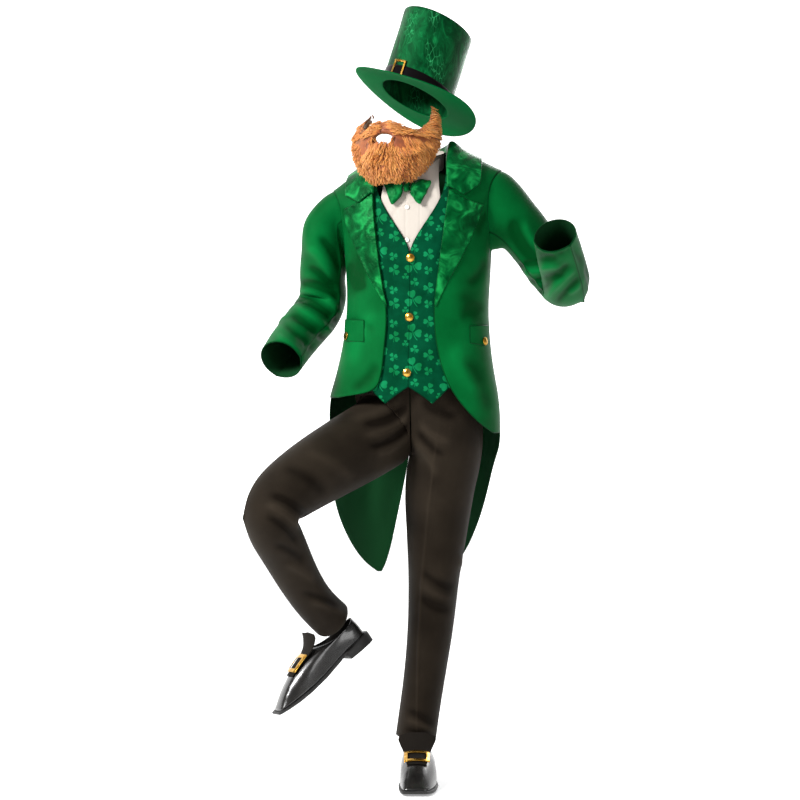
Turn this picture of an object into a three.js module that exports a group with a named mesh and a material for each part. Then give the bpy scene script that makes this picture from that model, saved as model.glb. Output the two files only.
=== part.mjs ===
// Leprechaun costume as worn in a dancing pose, hollow, in millimetres, +Z up, front towards -Y.
import * as THREE from 'three';

const { sin, cos, abs, sign, min, max, asin, PI } = Math;
const RAD = PI / 180;
const SEAM = 0.3;                 // gap between neighbouring pieces
const CLOTH = 2;                  // wall of the coat and the trousers
const THIN = 1.6;                 // wall of the shirt and the waistcoat

// The origin is where the costume hangs on the shoulders, given from the floor under the standing foot.
const ORIGIN = new THREE.Vector3(4, 0, 1470);

// Small helpers

const vec = (x, y, z) => new THREE.Vector3(x, y, z);
const lerp = (a, b, t) => a + (b - a) * t;
const clamp = (v, low, high) => min(high, max(low, v));
const smooth = (t) => t * t * (3 - 2 * t);
const power = (v, p) => sign(v) * abs(v) ** p;

// One column of a table that is sorted by its first column, with a soft curve between the rows.
function column(rows, key, at, name) {
  if (at <= rows[0][key]) return rows[0][name];
  if (at >= rows[rows.length - 1][key]) return rows[rows.length - 1][name];
  let i = 0;
  while (rows[i + 1][key] < at) i += 1;
  const span = rows[i + 1][key] - rows[i][key];
  const t = (at - rows[i][key]) / span;
  const slope = (j) => {
    const a = rows[max(j - 1, 0)];
    const b = rows[min(j + 1, rows.length - 1)];
    return (b[name] - a[name]) / (b[key] - a[key]) * span;
  };
  const h = t * t * (3 - 2 * t);
  return lerp(rows[i][name], rows[i + 1][name], h)
    + slope(i) * t * (1 - t) ** 2 - slope(i + 1) * t * t * (1 - t);
}

// Rows of numbers become rows with named columns.
const table = (names, rows) => rows.map((row) => Object.fromEntries(names.map((n, i) => [n, row[i]])));

// A value between straight lines through [key, value] pairs.
function straight(pairs, at) {
  let i = 0;
  while (i < pairs.length - 2 && pairs[i + 1][0] < at) i += 1;
  const t = clamp((at - pairs[i][0]) / (pairs[i + 1][0] - pairs[i][0]), 0, 1);
  return lerp(pairs[i][1], pairs[i + 1][1], t);
}

// A value from a list of stops at a share of its length.
function pick(list, share) {
  const k = clamp(share, 0, 1) * (list.length - 1);
  const i = min(Math.floor(k), list.length - 2);
  return lerp(list[i], list[i + 1], k - i);
}

// Materials

const paint = (name, hex, roughness, metalness = 0) => {
  const m = new THREE.MeshStandardMaterial({ roughness, metalness });
  m.color.set(hex);
  m.name = name;
  return m;
};
const COAT = paint('coat_cloth', '#0a7a3c', 0.85);
const SATIN = paint('green_satin', '#0f8a3c', 0.35);
const PRINT = paint('waistcoat_print', '#045a38', 0.85);
const SHIRT = paint('shirt_cloth', '#efe7e2', 0.85);
const TROUSER = paint('trouser_cloth', '#2e2923', 0.9);
const VELVET = paint('crown_velvet', '#0a6236', 0.6);
const BRIM = paint('brim_cloth', '#0b7a38', 0.8);
const BAND = paint('band_ribbon', '#120f10', 0.5);
const FUR = paint('beard_fur', '#c8772b', 0.9);
const SHOE = paint('shoe_gloss', '#1b1a18', 0.3);
const SOLE = paint('shoe_sole', '#14120f', 0.7);
const TONGUE = paint('tongue_cloth', '#3a3733', 0.7);
const GOLD = paint('gold_metal', '#d0a040', 0.3, 1);
const PEARL = paint('shirt_button', '#e8e4dc', 0.4);

const model = new THREE.Group();
model.name = 'leprechaun_costume';

function add(name, positions, index, material) {
  const geometry = new THREE.BufferGeometry();
  const moved = positions.flatMap((p) => [p.x - ORIGIN.x, p.y - ORIGIN.y, p.z - ORIGIN.z]);
  geometry.setAttribute('position', new THREE.Float32BufferAttribute(moved, 3));
  geometry.setIndex(index);
  geometry.computeVertexNormals();
  const mesh = new THREE.Mesh(geometry, material.clone());
  mesh.name = name;
  model.add(mesh);
  return mesh;
}

// Six times the volume that the triangles enclose, negative when they face inwards.
function signedVolume(points, index) {
  let sum = 0;
  for (let i = 0; i < index.length; i += 3) {
    const [a, b, c] = [points[index[i]], points[index[i + 1]], points[index[i + 2]]];
    sum += a.dot(b.clone().cross(c));
  }
  return sum;
}

// A cloth piece: the face at(s, t) is sampled on a grid and thickened against its normal.
// The options are wall (a number or a function), wrap (a tube along s), hole (cells left out),
// flip (the outer face is the other side), lift (a distance along the normal), fold (how far a fold
// pushes a point along its normal) and trim (which turns the normal of a seam).
function sheet(name, at, [across, up], material, options = {}) {
  const { wall = CLOTH, wrap = false, hole = () => false, flip = false, lift = 0 } = options;
  const { trim = null, fold = () => 0 } = options;
  const columns = wrap ? across : across + 1;
  const e = 1e-4;
  const outer = [];
  const inner = [];
  for (let j = 0; j <= up; j += 1) {
    for (let i = 0; i < columns; i += 1) {
      const s = i / across;
      const t = j / up;
      const p = at(s, t);
      const low = wrap ? s - e : max(s - e, 0);
      const high = wrap ? s + e : min(s + e, 1);
      const ds = at(high, t).sub(at(low, t));
      const dt = at(s, min(t + e, 1)).sub(at(s, max(t - e, 0)));
      const n = ds.cross(dt).normalize().multiplyScalar(flip ? -1 : 1);
      if (trim) trim(n, s, t);
      const thick = typeof wall === 'function' ? wall(s, t) : wall;
      const raise = lift + fold(p, n);
      outer.push(p.clone().addScaledVector(n, raise));
      inner.push(p.clone().addScaledVector(n, raise - thick));
    }
  }
  const count = outer.length;
  const id = (i, j) => j * columns + (wrap ? i % columns : i);
  const faces = [];
  for (let j = 0; j < up; j += 1) {
    for (let i = 0; i < across; i += 1) {
      if (hole(i, j)) continue;
      const [a, b, c, d] = [id(i, j), id(i + 1, j), id(i + 1, j + 1), id(i, j + 1)];
      faces.push([a, b, c], [a, c, d]);
    }
  }
  closeShell(name, outer.concat(inner), faces, count, flip, material);
}

// Turns every triangle over when together they face inwards.
function faceOut(points, index) {
  if (signedVolume(points, index) >= 0) return index;
  return index.map((v, i) => index[i % 3 ? i + 3 - 2 * (i % 3) : i]);
}

// The outer faces get an inner copy, and a rim along each open edge.
function closeShell(name, points, faces, count, flip, material) {
  const turned = flip ? faces.map(([a, b, c]) => [a, c, b]) : faces;
  const edges = new Set();
  turned.forEach(([a, b, c]) => [[a, b], [b, c], [c, a]].forEach(([p, q]) => edges.add(`${p}_${q}`)));
  const index = [];
  turned.forEach(([a, b, c]) => {
    index.push(a, b, c);
    index.push(a + count, c + count, b + count);
    [[a, b], [b, c], [c, a]].forEach(([p, q]) => {
      if (!edges.has(`${q}_${p}`)) index.push(q, p, p + count, q, p + count, q + count);
    });
  });
  const used = new Map();
  const kept = [];
  index.forEach((v) => {
    if (used.has(v)) return;
    used.set(v, kept.length);
    kept.push(points[v]);
  });
  add(name, kept, faceOut(kept, index.map((v) => used.get(v))), material);
}

// The largest folds, each a line on the side it is seen from (face -1 in front, 1 behind) with its half
// width and its depth, below 0 where it goes in.
const FOLD_COLUMNS = ['face', 'x0', 'z0', 'x1', 'z1', 'width', 'depth'];
function folds(rows) {
  const lines = table(FOLD_COLUMNS, rows);
  return (p, n) => lines.reduce((sum, line) => {
    const run = { x: line.x1 - line.x0, z: line.z1 - line.z0 };
    const length = Math.hypot(run.x, run.z);
    const along = ((p.x - line.x0) * run.x + (p.z - line.z0) * run.z) / length ** 2;
    const off = ((p.x - line.x0) * run.z - (p.z - line.z0) * run.x) / length;
    const ends = smooth(clamp((0.5 - abs(along - 0.5)) * 3 + 0.7, 0, 1));
    const seen = clamp(n.y * line.face * 3, 0, 1);
    return sum + line.depth * ends * seen * Math.exp(-((off / line.width) ** 2));
  }, 0);
}

// A solid from rings of points with a flat fan at each end.
function loft(name, rings, material) {
  const n = rings[0].length;
  const points = rings.flat();
  const index = [];
  for (let j = 0; j + 1 < rings.length; j += 1) {
    for (let i = 0; i < n; i += 1) {
      const [a, b] = [j * n + i, j * n + (i + 1) % n];
      index.push(a, b, b + n, a, b + n, a + n);
    }
  }
  const centre = (ring) => ring.reduce((sum, p) => sum.add(p), vec(0, 0, 0)).divideScalar(n);
  [0, rings.length - 1].forEach((j, end) => {
    const middle = points.push(centre(rings[j])) - 1;
    for (let i = 0; i < n; i += 1) {
      const [a, b] = [j * n + i, j * n + (i + 1) % n];
      index.push(...(end ? [a, b, middle] : [b, a, middle]));
    }
  });
  add(name, points, faceOut(points, index), material);
}

// A frame at a point: n out of the surface, r to the side, u up.
function frameAt(at, x, z, offset) {
  const e = 0.5;
  const dx = at(x + e, z).sub(at(x - e, z)).normalize();
  const dz = at(x, z + e).sub(at(x, z - e)).normalize();
  const n = dx.clone().cross(dz).normalize();
  const u = n.clone().cross(dx).normalize();
  return { p: at(x, z).addScaledVector(n, offset), n, r: dx, u };
}

// A round button turned from its profile (radius, height) and set on a frame.
function button(name, frame, profile, sides, material) {
  const { p, n, r, u } = frame;
  const rings = profile.map(([radius, height]) => {
    const ring = [];
    for (let i = 0; i < sides; i += 1) {
      const a = i / sides * 2 * PI;
      ring.push(p.clone().addScaledVector(r, radius * cos(a)).addScaledVector(u, radius * sin(a))
        .addScaledVector(n, height));
    }
    return ring;
  });
  loft(name, rings, material);
}

// Trunk: the body under the clothes, from the tails' tips to the shoulders.
// half is half the width, front and back are depths, shift is the centre line's x, ease is how much
// wider the coat is, turn is the twist about Z in degrees.
const UNDERARM = 1266;
const TRUNK = table(['z', 'half', 'front', 'back', 'shift', 'ease', 'turn'], [
  [480, 150, 100, 150, -6, 30, 0],
  [600, 165, 105, 148, -6, 30, 0],
  [720, 180, 112, 144, -6, 30, -1],
  [845, 181, 116, 136, -5, 31, -4],
  [930, 178, 118, 126, -2, 27, -7],
  [1010, 170, 117, 112, 2, 17, -9],
  [1107, 160, 115, 100, 6, 14, -10],
  [1183, 160, 118, 103, 8, 12, -10],
  [1266, 168, 122, 110, 8, 10, -10],
  [1480, 168, 120, 104, 5, 10, -10],
]);
const TRUNK_POWER = 2.4;          // squareness of the trunk's outline
const SHOULDER_SPREAD = 62;       // how much wider the shoulders are than the chest
const NECK_HALF = 78;
const SHOULDER = { 1: { neck: 1516, tip: 1472 }, '-1': { neck: 1500, tip: 1432 } };
const SHOULDER_EASE = 12;         // how much higher the coat lies there than the shirt
const SHOULDER_TIP = 198;
const ROUND = 0.8;                // squareness of the shoulder's section

// Height of the shoulder line over a signed distance from the centre line.
function shoulderHeight(x) {
  const t = clamp((abs(x) - NECK_HALF) / (SHOULDER_TIP - NECK_HALF), -0.25, 1.2);
  const on = (side) => lerp(SHOULDER[side].neck, SHOULDER[side].tip, t) + 6 * sin(PI * clamp(t, 0, 1));
  const mix = smooth(clamp(x / NECK_HALF * 0.5 + 0.5, 0, 1));
  return lerp(on(-1), on(1), mix);
}

function place(x, y, z, height) {
  const turn = column(TRUNK, 'z', height, 'turn') * RAD;
  const shift = column(TRUNK, 'z', height, 'shift');
  return vec(shift + x * cos(turn) - y * sin(turn), x * sin(turn) + y * cos(turn), z);
}

// A point of the trunk. face is -1 in front and 1 behind, f runs from the centre (0) to the side (1),
// h is millimetres below the underarm when negative, and 0 to 1 from there to the shoulder line.
function trunk(face, side, f, h, ease) {
  const z = h < 0 ? UNDERARM + h : UNDERARM;
  const lift = h > 0 ? h * 90 * RAD : 0;
  const wide = column(TRUNK, 'z', z, 'half') + ease * column(TRUNK, 'z', z, 'ease')
    + SHOULDER_SPREAD * sin(lift) ** 2;
  const deep = column(TRUNK, 'z', z, face < 0 ? 'front' : 'back') + ease * 8;
  const a = f * 90 * RAD;
  const x = side * wide * power(sin(a), 2 / TRUNK_POWER);
  const y = face * deep * power(cos(a), 2 / TRUNK_POWER) * power(cos(lift), ROUND);
  const top = shoulderHeight(x) + ease * SHOULDER_EASE;
  const height = h > 0 ? lerp(UNDERARM, top, sin(lift) ** ROUND) : z;
  return place(x, y, height, height);
}

// The same surface over x and z.
function over(face, x, z, ease) {
  let h = z - UNDERARM;
  if (h > 0) {
    const top = shoulderHeight(x) + ease * SHOULDER_EASE;
    h = asin(clamp(h / (top - UNDERARM), 0, 1) ** (1 / ROUND)) / (90 * RAD);
  }
  const level = min(z, UNDERARM);
  const wide = column(TRUNK, 'z', level, 'half') + ease * column(TRUNK, 'z', level, 'ease')
    + SHOULDER_SPREAD * (h > 0 ? sin(h * 90 * RAD) ** 2 : 0);
  const f = asin(clamp(abs(x) / wide, 0, 1) ** (TRUNK_POWER / 2)) / (90 * RAD);
  return trunk(face, x < 0 ? -1 : 1, f, h, ease);
}
const onCoat = (face, x, z) => over(face, x, z, 1);
const onBody = (face, x, z) => over(face, x, z, 0);

// The share of the half round at which a signed x lies, at height h of the chart.
function shareOf(x, h, ease) {
  const z = h < 0 ? UNDERARM + h : UNDERARM;
  const wide = column(TRUNK, 'z', z, 'half') + ease * column(TRUNK, 'z', z, 'ease')
    + SHOULDER_SPREAD * (h > 0 ? sin(h * 90 * RAD) ** 2 : 0);
  return asin(clamp(abs(x) / wide, 0, 1) ** (TRUNK_POWER / 2)) / (90 * RAD);
}

// The share at which the armhole lies: the side seam at the underarm, then well in from it.
const ARMHOLE_DEPTH = { '-1': 0.6, 1: 0.62 };
function armholeShare(face, h) {
  if (h <= 0) return 1;
  const reach = ARMHOLE_DEPTH[face] * (1 - (1 - sin(h * 90 * RAD)) ** 2.5);
  return 1 - asin(clamp(reach, 0, 1) ** (TRUNK_POWER / 2)) / (90 * RAD);
}

// The share at which the neck hole lies, 0 where the panel reaches the centre.
const NECK_BACK = 62;
function neckShare(face, side, h, ease) {
  const inside = (f) => {
    const p = trunk(face, side, f, h, ease);
    const c = place(0, 0, p.z, p.z);
    return Math.hypot((p.x - c.x) / NECK_HALF, (p.y - c.y) / NECK_BACK) < 1;
  };
  if (h <= 0 || !inside(0)) return 0;
  let low = 0;
  let high = 1;
  for (let k = 0; k < 30; k += 1) {
    const mid = (low + high) / 2;
    if (inside(mid)) low = mid;
    else high = mid;
  }
  return high;
}

// Tailcoat

const COAT_LIFT = 2;
const UPPER_ROWS = [0, 0.13, 0.27, 0.42, 0.57, 0.72, 0.86, 0.9997];
const SIDE_GAP = 0.0008;           // share of the half round left free at a side seam

// A panel between two edges, each a share of the half round at height h.
function panel(name, face, side, rows, inner, outer, across, ease, material, options = {}) {
  const at = (s, t) => {
    const h = pick(rows, t);
    return trunk(face, side, lerp(inner(h), outer(h), clamp(s, 0, 1)), h, ease);
  };
  sheet(name, at, [across, rows.length - 1], material, { flip: face * side > 0, ...options });
}

// Front edges of the coat: x at each height, from the hem to the neck.
const EDGE = {
  1: table(['z', 'x'], [
    [845, 196], [862, 172], [880, 154], [900, 136], [921, 120], [956, 97], [997, 81],
    [1047, 68], [1121, 59], [1168, 60], [1227, 68], [1277, 75], [1325, 82], [1407, 92],
    [1427, 95], [1470, 93], [1530, 82],
  ]),
  '-1': table(['z', 'x'], [
    [930, -170], [937, -111], [952, -78], [980, -66], [1047, -60], [1138, -54], [1165, -60],
    [1253, -75], [1304, -81], [1408, -90], [1423, -92], [1465, -91], [1515, -82],
  ]),
};
const HEM = { 1: 845, '-1': 930 };
const LOWER_ROWS = {
  1: [845, 864, 886, 912, 945, 990, 1045, 1107, 1160, 1212],
  '-1': [930, 937, 948, 965, 1005, 1055, 1107, 1160, 1212],
};
const heightOf = (h, x) => (h < 0 ? UNDERARM + h
  : lerp(UNDERARM, shoulderHeight(x) + SHOULDER_EASE, sin(h * 90 * RAD) ** ROUND));

function coatEdge(side, h) {
  let x = side * 60;
  for (let k = 0; k < 6; k += 1) {
    x = column(EDGE[side], 'z', heightOf(h, x), 'x');
  }
  return max(shareOf(x, h, 1), neckShare(-1, side, h, 1));
}

function coatFront(side, name) {
  const rows = LOWER_ROWS[side].map((z) => z - UNDERARM).concat(UPPER_ROWS);
  panel(name, -1, side, rows, (h) => coatEdge(side, h), (h) => armholeShare(-1, h) - SIDE_GAP,
    12, 1, COAT, { lift: COAT_LIFT });
}

// Backs with tails: the outer and the inner edge of each tail.
const TAIL = {
  1: table(['z', 'outer', 'inner'], [
    [491, 83, 74], [506, 104, 66], [532, 126, 56], [571, 146, 46], [617, 164, 37], [690, 184, 26],
    [760, 196, 18], [845, 206, 12], [930, 204, 6], [1010, 190, 0.2],
  ]),
  '-1': table(['z', 'outer', 'inner'], [
    [491, -87, -78], [506, -108, -70], [532, -132, -61], [571, -156, -51], [617, -177, -42],
    [690, -196, -28], [760, -204, -18], [845, -207, -12], [930, -205, -6], [1010, -190, -0.2],
  ]),
};
const TAIL_ROWS = [491, 506, 532, 571, 617, 665, 715, 765, 808];
const BACK_ROWS = {
  1: TAIL_ROWS.concat(LOWER_ROWS[1]),
  '-1': TAIL_ROWS.concat([850, 892], LOWER_ROWS['-1']),
};
const WAIST_SEAM = 1024;           // where the tails are sewn to the backs

function coatBack(side, name, rows) {
  const inner = (h) => {
    const z = UNDERARM + min(h, 0);
    const x = z < 1000 ? column(TAIL[side], 'z', z, 'inner') : side * 0.15;
    return max(shareOf(x, h, 1), neckShare(1, side, h, 1));
  };
  const outer = (h) => {
    const z = UNDERARM + min(h, 0);
    if (z >= HEM[side] - 1) return armholeShare(1, h) - SIDE_GAP;
    const full = 1 - SIDE_GAP;
    const cut = shareOf(column(TAIL[side], 'z', z, 'outer'), h, 1);
    return min(full, lerp(full, cut, smooth(clamp((HEM[side] - z) / 90, 0, 1))));
  };
  panel(name, 1, side, rows, inner, outer, 8, 1, COAT, { lift: COAT_LIFT });
}
function tail(side, name) {
  const rows = BACK_ROWS[side].filter((z) => z < WAIST_SEAM).concat(WAIST_SEAM - SEAM / 2);
  coatBack(side, name, rows.map((z) => z - UNDERARM));
}
function back(side, name) {
  const rows = [WAIST_SEAM + SEAM / 2].concat(BACK_ROWS[side].filter((z) => z > WAIST_SEAM));
  coatBack(side, name, rows.map((z) => z - UNDERARM).concat(UPPER_ROWS));
}

coatFront(-1, 'coat_front_right');
coatFront(1, 'coat_front_left');
back(-1, 'coat_back_right');
back(1, 'coat_back_left');
tail(-1, 'coat_tail_right');
tail(1, 'coat_tail_left');

// Lapels lie on the coat fronts: the roll line, the outer edge and the line between them at the gorge.
const LAPEL = {
  1: table(['t', 'rollX', 'rollZ', 'outX', 'outZ'], [
    [0, 60, 1152, 63, 1146], [0.16, 63, 1190, 81, 1190], [0.36, 71, 1250, 109, 1240],
    [0.58, 79, 1310, 135, 1295], [0.8, 87, 1370, 156, 1350], [1, 94, 1425, 168, 1390],
  ]),
  '-1': table(['t', 'rollX', 'rollZ', 'outX', 'outZ'], [
    [0, -55, 1152, -57, 1147], [0.16, -65, 1188, -84, 1193], [0.36, -74, 1246, -112, 1240],
    [0.58, -81, 1308, -145, 1315], [0.8, -87, 1365, -165, 1355], [1, -91, 1421, -165, 1386],
  ]),
};
const OVER_COAT = COAT_LIFT + CLOTH + 1.3;   // where the lapels and the flaps lie
function lapel(side, name) {
  const at = (s, t) => {
    const row = (key) => column(LAPEL[side], 't', clamp(t, 0, 1), key);
    const x = lerp(row('rollX'), row('outX'), s);
    const z = lerp(row('rollZ'), row('outZ'), s) - 5 * sin(PI * s) * t;
    return onCoat(-1, x, z);
  };
  sheet(name, at, [5, 9], SATIN, { lift: OVER_COAT, flip: side < 0 });
}
lapel(-1, 'lapel_right');
lapel(1, 'lapel_left');

// Pocket flaps, each from its four corners, spread evenly round the side.
function flap(side, name, corners) {
  const [a, b, c, d] = corners.map(([x, z]) => ({ f: shareOf(x, z - UNDERARM, 1), z }));
  const at = (s, t) => trunk(-1, side, lerp(lerp(a.f, b.f, s), lerp(d.f, c.f, s), t),
    lerp(lerp(a.z, b.z, s), lerp(d.z, c.z, s), t) - UNDERARM, 1);
  sheet(name, at, [6, 3], COAT, { lift: OVER_COAT, flip: side < 0 });
}
const FLAP = {
  1: [[141, 1059], [172, 1052], [174, 1104], [139, 1100]],
  '-1': [[-109, 1062], [-163, 1066], [-170, 1120], [-111, 1115]],
};
flap(-1, 'pocket_flap_right', FLAP['-1']);
flap(1, 'pocket_flap_left', FLAP[1]);

const BUTTON_PROFILE = [[5, 0], [9, 1], [10, 2.6], [8.4, 4.4], [4.4, 5.4]];
const FLAP_BUTTON = { 1: [169, 1064], '-1': [-158, 1078] };
[[-1, 'flap_button_right'], [1, 'flap_button_left']].forEach(([side, name]) => {
  const [x, z] = FLAP_BUTTON[side];
  const frame = frameAt((a, b) => onCoat(-1, a, b), x, z, OVER_COAT + 0.25);
  button(name, frame, BUTTON_PROFILE, 12, GOLD);
});

// Coat collar: a stand inside, a fold, and a fall that lies over the shoulders.
// turn goes round from the right front end (-1) by the centre back (0) to the left one. x and reach
// place the outer edge, footX and foot the neck edge; reach is 0 at the underarm in front, 1 on top
// of the shoulder and 2 at the underarm behind.
const COLLAR = table(['turn', 'x', 'reach', 'footX', 'foot', 'stand'], [
  [-1, -124, 0.34, -94, 0.38, 2], [-0.92, -158, 0.46, -95, 0.44, 4], [-0.75, -160, 0.74, -91, 0.62, 12],
  [-0.5, -148, 1.04, -84, 0.98, 26], [-0.3, -82, 1.38, -62, 1.22, 30], [0, 0, 1.46, 0, 1.37, 32],
  [0.3, 84, 1.38, 62, 1.22, 30], [0.5, 150, 1.04, 84, 0.98, 26], [0.75, 162, 0.74, 91, 0.62, 12],
  [0.92, 160, 0.46, 96, 0.44, 4], [1, 126, 0.34, 95, 0.38, 2],
]);
const COLLAR_FOLD = 7;            // room between the stand and the fall

function overShoulder(x, reach) {
  const h = min(reach > 1 ? 2 - reach : reach, 0.9999);
  return trunk(reach > 1 ? 1 : -1, x < 0 ? -1 : 1, shareOf(x, h, 1), h, 1);
}

function collarPoint(s, t) {
  const turn = s * 2 - 1;
  const at = (name) => column(COLLAR, 'turn', turn, name);
  const onFall = (v) => overShoulder(lerp(at('footX'), at('x'), v), lerp(at('foot'), at('reach'), v));
  const e = 0.01;
  const foot = onFall(0);
  const outward = onFall(0.3).sub(foot).normalize();
  const v = t < 0.25 ? 0 : (t - 0.25) / 0.75;
  const k = t < 0.25 ? t / 0.25 : 1;
  const base = onFall(v);
  const across = onFall(v + e).sub(base).normalize();
  const near = (d) => {
    const q = clamp(turn + d, -1, 1);
    const c = (name) => column(COLLAR, 'turn', q, name);
    return overShoulder(lerp(c('footX'), c('x'), v), lerp(c('foot'), c('reach'), v));
  };
  const along = near(e).sub(near(-e)).normalize();
  const n = across.clone().cross(along).normalize();
  if (n.dot(base.clone().sub(vec(5, 0, 1380))) < 0) n.negate();
  const rise = at('stand') * (1 - (1 - k) ** 1.5) * (1 - v) ** 2;
  const inward = COLLAR_FOLD * (1 - k ** 3);
  return base.addScaledVector(n, OVER_COAT + 2.3).add(vec(0, 0, rise))
    .addScaledVector(vec(outward.x, outward.y, 0).normalize(), -inward);
}
sheet('coat_collar', collarPoint, [22, 7], SATIN, { flip: true });

// Limbs: rings of cloth along an arm or a leg, whose front is carried along from the top.
const limbPoint = (rows, t) => vec(...['x', 'y', 'z'].map((key) => column(rows, 't', t, key)));
const STEPS = 80;

function limb(rows, front) {
  const start = rows[0].t;
  const list = [];
  let ahead = front.clone();
  for (let k = 0; k <= STEPS; k += 1) {
    const t = lerp(start, 1, k / STEPS);
    const e = 0.012;
    const low = limbPoint(rows, max(t - e, start));
    const high = limbPoint(rows, min(t + e, 1));
    const along = high.clone().sub(low).normalize();
    ahead = ahead.clone().addScaledVector(along, -ahead.dot(along)).normalize();
    list.push({ along, ahead, length: high.distanceTo(low) / (min(t + e, 1) - max(t - e, start)) });
  }
  return (t) => {
    const k = clamp((t - start) / (1 - start), 0, 1) * STEPS;
    const i = min(Math.floor(k), STEPS - 1);
    const mix = (name) => list[i][name].clone().lerp(list[i + 1][name], k - i).normalize();
    const along = mix('along');
    const ahead = mix('ahead').addScaledVector(along, -mix('ahead').dot(along)).normalize();
    const w = 4;
    const [p, q] = [list[max(i - w, 0)], list[min(i + 1 + w, STEPS)]];
    const bend = q.along.clone().sub(p.along);
    const run = list[i].length * (min(i + 1 + w, STEPS) - max(i - w, 0)) / STEPS * (1 - start);
    const radius = bend.length() > 0.02 ? run / bend.length() : 1e6;
    return { centre: limbPoint(rows, t), along, ahead, side: ahead.clone().cross(along).normalize(),
      bend: bend.normalize(), radius };
  };
}

// A point of a ring, pressed flat on the inside of a bend where the cloth would run into itself.
function ringPoint(frame, x, y, tilt) {
  const v = frame.side.clone().multiplyScalar(x).addScaledVector(frame.ahead, y);
  const reach = v.dot(frame.bend);
  if (reach > 0) {
    const room = frame.radius * 0.62;
    v.addScaledVector(frame.bend, reach / (1 + (reach / room) ** 4) ** 0.25 - reach);
  }
  return frame.centre.clone().add(v).addScaledVector(frame.along, -tilt);
}

// Sleeves: each ring's centre, its half widths and how far its top is drawn back to the shoulder.
const SLEEVE = {
  '-1': table(['t', 'x', 'y', 'z', 'across', 'deep', 'tilt'], [
    [0.2, -222, 32, 1300, 62, 62, 44], [0.36, -230, 64, 1236, 58, 60, 14],
    [0.5, -231, 80, 1176, 61, 62, 0], [0.6, -246, 66, 1138, 62, 61, 0],
    [0.74, -276, 16, 1096, 59, 57, 0], [0.88, -302, -46, 1056, 56, 54, 0],
    [1, -322, -100, 1020, 54, 52, 0],
  ]),
  1: table(['t', 'x', 'y', 'z', 'across', 'deep', 'tilt'], [
    [0.2, 252, -16, 1352, 64, 64, 30], [0.34, 304, -2, 1288, 62, 62, 8],
    [0.45, 342, 8, 1236, 62, 62, 0], [0.53, 364, 0, 1208, 61, 60, 0],
    [0.61, 370, -24, 1202, 60, 59, 0], [0.7, 364, -60, 1222, 59, 57, 0],
    [0.85, 346, -122, 1268, 56, 54, 0], [1, 328, -180, 1310, 53, 51, 0],
  ]),
};
const SLEEVE_START = 0.2;
const SLEEVE_GAP = { '-1': 1.15, 1: 0.5 };   // between a sleeve's top and the armhole
const ARM = { '-1': limb(SLEEVE['-1'], vec(0.17, -0.98, 0)), 1: limb(SLEEVE[1], vec(0.17, -0.98, 0)) };
const ARM_OUT = { '-1': 1, 1: 1 };
[-1, 1].forEach((side) => {
  ARM_OUT[side] = sign(ARM[side](SLEEVE_START).side.x * side);
});

// The armhole as a ring: 0 at the shoulder tip, 0.25 in front, 0.5 under the arm, 0.75 behind.
function armhole(side, turn) {
  const u = ((turn % 1) + 1) % 1;
  const face = u < 0.5 ? -1 : 1;
  const h = abs(1 - 2 * u);
  return trunk(face, side, armholeShare(face, h), h, 1);
}

// The coat's normal at its armhole, and the way out of the panel there.
function armholeFrame(side, turn) {
  const u = ((turn % 1) + 1) % 1;
  const face = u < 0.5 ? -1 : 1;
  const h = clamp(abs(1 - 2 * u), 0.005, 0.995);
  const f = armholeShare(face, h);
  const across = trunk(face, side, f, h, 1).sub(trunk(face, side, f - 0.005, h, 1)).normalize();
  const up = trunk(face, side, f, h + 0.004, 1).sub(trunk(face, side, f, h - 0.004, 1)).normalize();
  const normal = across.clone().cross(up).multiplyScalar(face * side).normalize();
  const edge = armhole(side, u + 0.004).sub(armhole(side, u - 0.004)).normalize();
  const away = edge.cross(normal).normalize();
  if (away.dot(across.add(up)) < 0) away.negate();
  return { normal: normal.negate(), away };
}

function sleevePoint(side, turn, t) {
  const rows = SLEEVE[side];
  const at = max(t, SLEEVE_START);
  const frame = ARM[side](at);
  const a = turn * 2 * PI;
  const size = (name) => column(rows, 't', at, name);
  const ring = ringPoint(frame, size('across') * cos(a) * ARM_OUT[side], size('deep') * sin(a),
    size('tilt') * cos(a));
  if (t >= SLEEVE_START) return ring;
  const start = armhole(side, turn).addScaledVector(armholeFrame(side, turn).away, SLEEVE_GAP[side]);
  const reach = start.distanceTo(ring);
  const out = vec(side, -0.18 * side, -0.25).normalize();
  const down = frame.along.clone().multiplyScalar(reach * 0.9);
  const u = t / SLEEVE_START;
  const [u2, u3] = [u * u, u * u * u];
  return start.multiplyScalar(2 * u3 - 3 * u2 + 1)
    .addScaledVector(out, (u3 - 2 * u2 + u) * reach * 0.9)
    .addScaledVector(ring, 3 * u2 - 2 * u3)
    .addScaledVector(down, u3 - u2);
}

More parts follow.
